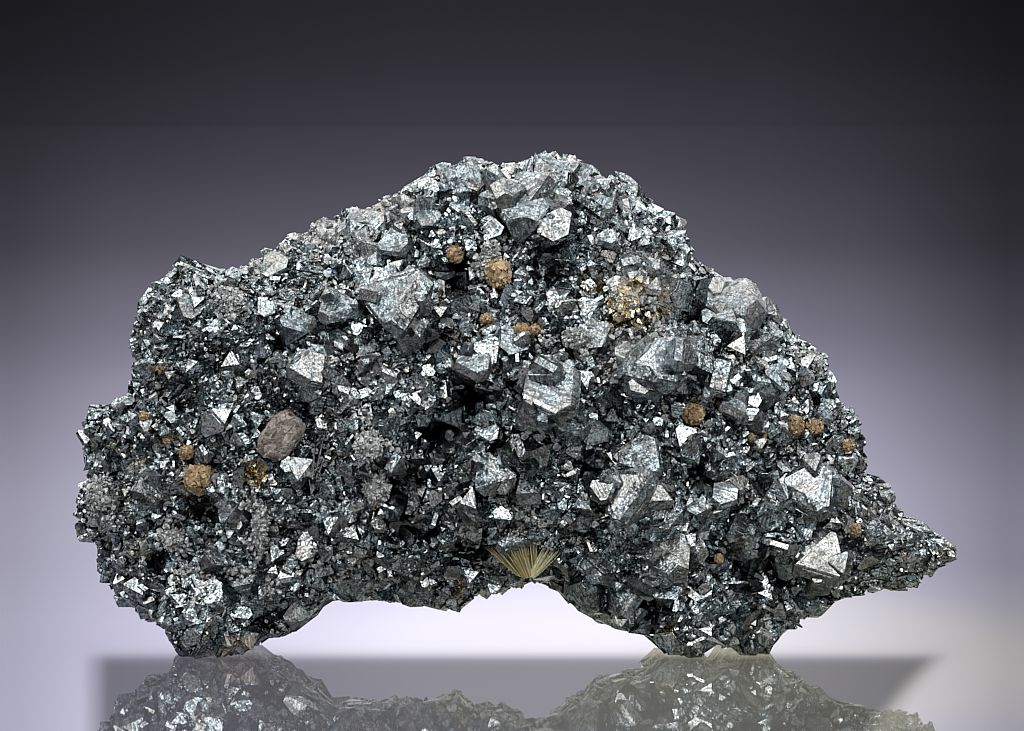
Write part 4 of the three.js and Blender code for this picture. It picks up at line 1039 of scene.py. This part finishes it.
rhomb_corners = np.array([(a, b, c) for a in (-1, 1) for b in (-1, 1) for c in (-1, 1)], float)
rhomb_corners = rhomb_corners + 0.25 * rhomb_corners[:, [1, 2, 0]]
rhomb_faces = [np.array(ring) for ring in ((0, 1, 3, 2), (4, 6, 7, 5), (0, 4, 5, 1), (2, 3, 7, 6),
                                           (0, 2, 6, 4), (1, 5, 7, 3))]
RHOMBS = 110
siderite_finish = earthy("siderite", [(0.07, 0.040, 0.018), (0.24, 0.155, 0.080), (0.37, 0.27, 0.155),
                                      (0.50, 0.42, 0.29)],
                         0.5, 0.22, 0.6, 0.4)
for n, (x, z, radius) in enumerate(BALL_PLACES):
    middle_at = np.array([x, depth_at(np.array([x]), np.array([z]), -1)[0] - 0.45 * radius, z])
    uneven = draw.uniform(0.84, 1.12, 3)
    core = rough_ball(middle_at, np.array([0.86, 0.8, 0.84]) * uneven * radius, 0.5, 0.12, 31.0 * n, 16)
    ways = unit(draw.normal(size=(RHOMBS, 3)))
    sizes = radius * draw.uniform(0.06, 0.19, RHOMBS)
    rhombs = crowd(middle_at + ways * uneven * (radius * 0.94 - 0.85 * sizes)[:, None], sizes * CRYSTAL_SPAN,
                   any_turn(RHOMBS, draw), draw.uniform(0.7, 1.1, (RHOMBS, 3)),
                   [fanned(rhomb_corners, rhomb_faces)], draw)
    points, triangles, marks = gathered([core, rhombs[:3]])
    mesh_piece(f"siderite_growth_{n + 1:02d}", points, triangles, {"mark": marks}, siderite_finish,
               [f"siderite_ball_{n + 1:02d}"])


# The quartz: small frosted grey groups, each a rounded lump of short six-sided points.
def six_sided_point():
    """A six-sided prism along Z that ends in a six-sided pyramid."""
    ring = np.arange(6) * math.pi / 3
    wall = np.column_stack([np.cos(ring), np.sin(ring)])
    corners = np.concatenate([np.column_stack([wall, np.full(6, -1.0)]),
                              np.column_stack([wall, np.full(6, 0.4)]),
                              [(0.0, 0.0, 1.3), (0.0, 0.0, -1.0)]])
    n = np.arange(6)
    m = (n + 1) % 6
    triangles = np.concatenate([np.stack([n, m, m + 6], 1), np.stack([n, m + 6, n + 6], 1),
                                np.stack([n + 6, m + 6, np.full(6, 12)], 1),
                                np.stack([m, n, np.full(6, 13)], 1)])
    return corners, triangles, np.concatenate([n, n, n + 6, np.full(6, 12)])


def turns_along(ways, draw):
    """Turns that bring Z onto each direction, with a random spin about it."""
    spare = unit(draw.normal(size=ways.shape))
    first = unit(np.cross(spare, ways))
    return np.stack([first, np.cross(ways, first), ways], axis=-1)


quartz_finish = earthy("frosted_quartz", [(0.07, 0.072, 0.07), (0.21, 0.22, 0.22), (0.38, 0.395, 0.395),
                                          (0.64, 0.66, 0.655)],
                       0.32, 0.35, 0.3, 0.5)
QUARTZ_POINTS = 230
for n, (x, z, width, height, lean) in enumerate(QUARTZ_PLACES):
    middle_at = np.array([x, depth_at(np.array([x]), np.array([z]), -1)[0] - 1.0, z])
    halves = np.array([width, 1.1, height])
    core = rough_ball(middle_at, halves * 0.72, 0.5, 0.12, 77.0 + n, 12)
    ways = unit(draw.normal(size=(QUARTZ_POINTS, 3)))
    sizes = draw.uniform(0.10, 0.34, QUARTZ_POINTS) * CRYSTAL_SPAN
    thin = draw.uniform(0.3, 0.9, QUARTZ_POINTS)
    leaning = unit(ways + 0.9 * draw.normal(size=ways.shape))
    places = middle_at + ways * halves * draw.uniform(0.6, 1.0, QUARTZ_POINTS)[:, None]
    points = crowd(places, sizes, turns_along(leaning, draw),
                   np.column_stack([thin, thin, np.ones(QUARTZ_POINTS)]),
                   [six_sided_point()], draw)
    points, triangles, marks = gathered([core, points[:3]])
    mesh_piece(f"quartz_points_{n + 1:02d}", points, triangles, {"mark": marks}, quartz_finish,
               [f"quartz_group_{n + 1:02d}"])

# Sugary quartz that the groups shed over the druse round them, and over a few patches of their own
SUGARY = [(-27.5, 14.0, 4.5, 5.0), (-14.6, 24.5, 3.6, 6.5), (-38.5, 13.0, 4.0, 3.4), (-16.5, 8.6, 6.5, 2.6),
          (-31.0, 40.0, 3.6, 2.6), (6.4, 36.4, 4.0, 2.4), (-2.4, 45.4, 1.8, 2.0), (-46.6, 18.2, 2.4, 3.6),
          (33.6, 32.8, 2.4, 2.2), (-30.0, 10.0, 7.0, 4.0), (0.8, 16.8, 3.2, 2.4), (16.0, 38.0, 4.0, 3.0)]
SUGAR_PATCHES = 4
SUGAR_GRAINS = 34
grain_places = []
for x, z, half_x, half_z in SUGARY:
    for spread in draw.normal(size=(SUGAR_PATCHES, 2)) * 0.5:
        grain = draw.normal(size=(SUGAR_GRAINS, 2)) * draw.uniform(0.4, 0.8, 2)
        gx, gz = x + half_x * spread[0] + grain[:, 0], z + half_z * spread[1] + grain[:, 1]
        grain_places.append(np.column_stack([gx, depth_at(gx, gz, -1) - draw.uniform(0.3, 1.2, SUGAR_GRAINS),
                                             gz]))
grain_places = np.concatenate(grain_places)
from_centre = grain_places[:, [0, 2]] - CENTRE
grain_places = grain_places[furthest(np.arctan2(*from_centre.T[::-1])) - np.hypot(*from_centre.T) > 0.8]
sizes = draw.uniform(0.10, 0.36, len(grain_places)) * CRYSTAL_SPAN
points, triangles, marks, _ = crowd(grain_places, sizes, any_turn(len(grain_places), draw),
                                    draw.uniform(0.35, 1.2, (len(grain_places), 3)), [six_sided_point()],
                                    draw)
mesh_piece("quartz_sugar", held_in(points), triangles, {"mark": marks}, quartz_finish,
           ["quartz_group_03"])


# The brown nodule: one barrel-shaped, finely cracked brown-grey grain wedged in the left lobe.
NODULE_HALVES = (1.9, 1.8, 2.75)
NODULE_LEAN = 36
nodule_finish = earthy("brown_nodule_skin", [(0.015, 0.010, 0.008), (0.14, 0.115, 0.10), (0.26, 0.228, 0.205),
                                             (0.42, 0.385, 0.36)], 0.5, 0.32, 1.0, 0.3)
points, triangles, marks = rough_ball(np.zeros(3), np.array(NODULE_HALVES), 0.22, 0.06, 5.0, 70)
scaled = np.abs(points / np.array(NODULE_HALVES))
points = points * (np.linalg.norm(scaled, axis=1) / (scaled ** 3.2).sum(axis=1) ** (1 / 3.2))[:, None]
points = points @ turn_about(np.array([0.0, 1.0, 0.0]), math.radians(NODULE_LEAN)).T
x, z = NODULE_PLACE[0], NODULE_PLACE[1]
points = points + np.array([x, depth_at(np.array([x]), np.array([z]), -1)[0] - 0.9, z])
mesh_piece("nodule_skin", points, triangles, {"mark": marks}, nodule_finish,
           ["brown_nodule"])


# The olive spray: two fans of yellow-green fibres, the right one paler, that spread upwards from one
# broad foot at the lower edge. Each fan is (lean, spread, count, width of its foot, paleness).
SPRAY_ROOT = (1.3, 9.0)
SPRAY_HEIGHT = 5.4
SPRAY_FANS = [(-24, 24, 110, 1.1, 0.0), (36, 9, 70, 0.5, 0.35)]
spray_finish = earthy("olive_fibres", [(0.20, 0.165, 0.05), (0.46, 0.41, 0.18), (0.66, 0.62, 0.36),
                                       (0.90, 0.88, 0.66)],
                      0.35, 0.5, 0.3, 0.7)
root = np.array([SPRAY_ROOT[0], depth_at(np.array([1.6]), np.array([10.5]), -1)[0] - 2.6, SPRAY_ROOT[1]])
parts = []
for lean, spread, count, foot_width, paleness in SPRAY_FANS:
    share = draw.uniform(-1, 1, count)
    angle = np.radians(lean + spread * share)
    forward = draw.uniform(-0.7, -0.2, count)
    ways = unit(np.column_stack([np.sin(angle), forward, np.cos(angle)]))
    lengths = SPRAY_HEIGHT * draw.uniform(0.72, 1.0, count)
    thin = draw.uniform(0.05, 0.11, count)
    stretches = np.column_stack([thin, thin * 0.7, lengths / 2.3])
    feet = root + np.column_stack([foot_width * share + 2 * paleness, np.zeros(count), 0.3 * np.abs(share)])
    fibres = crowd(feet + ways * (lengths / 2.3)[:, None], np.full(count, CRYSTAL_SPAN),
                   turns_along(ways, draw),
                   stretches, [six_sided_point()], draw)
    parts.append((fibres[0], fibres[1], np.minimum(fibres[2] * 0.8 + paleness, 1.0)))
points, triangles, marks = gathered(parts)
mesh_piece("spray_fibres", points, triangles, {"mark": marks}, spray_finish, ["olive_spray"])


# The dark needles: a few thin bright-edged prisms that cross near their feet in the left lobe.
NEEDLE_FOOT = (-22.6, 18.6)
NEEDLES = [(12, 7.4, 0.11), (4, 6.6, 0.10), (20, 5.8, 0.09), (-9, 4.2, 0.07), (31, 3.6, 0.06)]
needle_finish = steel_grey("needle_faces", (0.62, 0.62, 0.64), (0.2, 0.2, 0.21), 0.1, 0.5, 0.22)
x, z = NEEDLE_FOOT
foot = np.array([x, depth_at(np.array([x]), np.array([z + 3.7]), -1)[0] - 1.2, z])
leans, lengths, thin = (np.array(values, float) for values in zip(*NEEDLES))
ways = np.column_stack([np.sin(np.radians(leans)), np.zeros(len(leans)), np.cos(np.radians(leans))])
points, triangles, marks, _ = crowd(foot + ways * (lengths / 2.3)[:, None], np.full(len(leans), CRYSTAL_SPAN),
                                 turns_along(ways, draw), np.column_stack([thin, thin, lengths / 2.3]),
                                 [six_sided_point()], draw)
mesh_piece("needle_prisms", points, triangles, {"mark": marks}, needle_finish,
           ["dark_needles"])
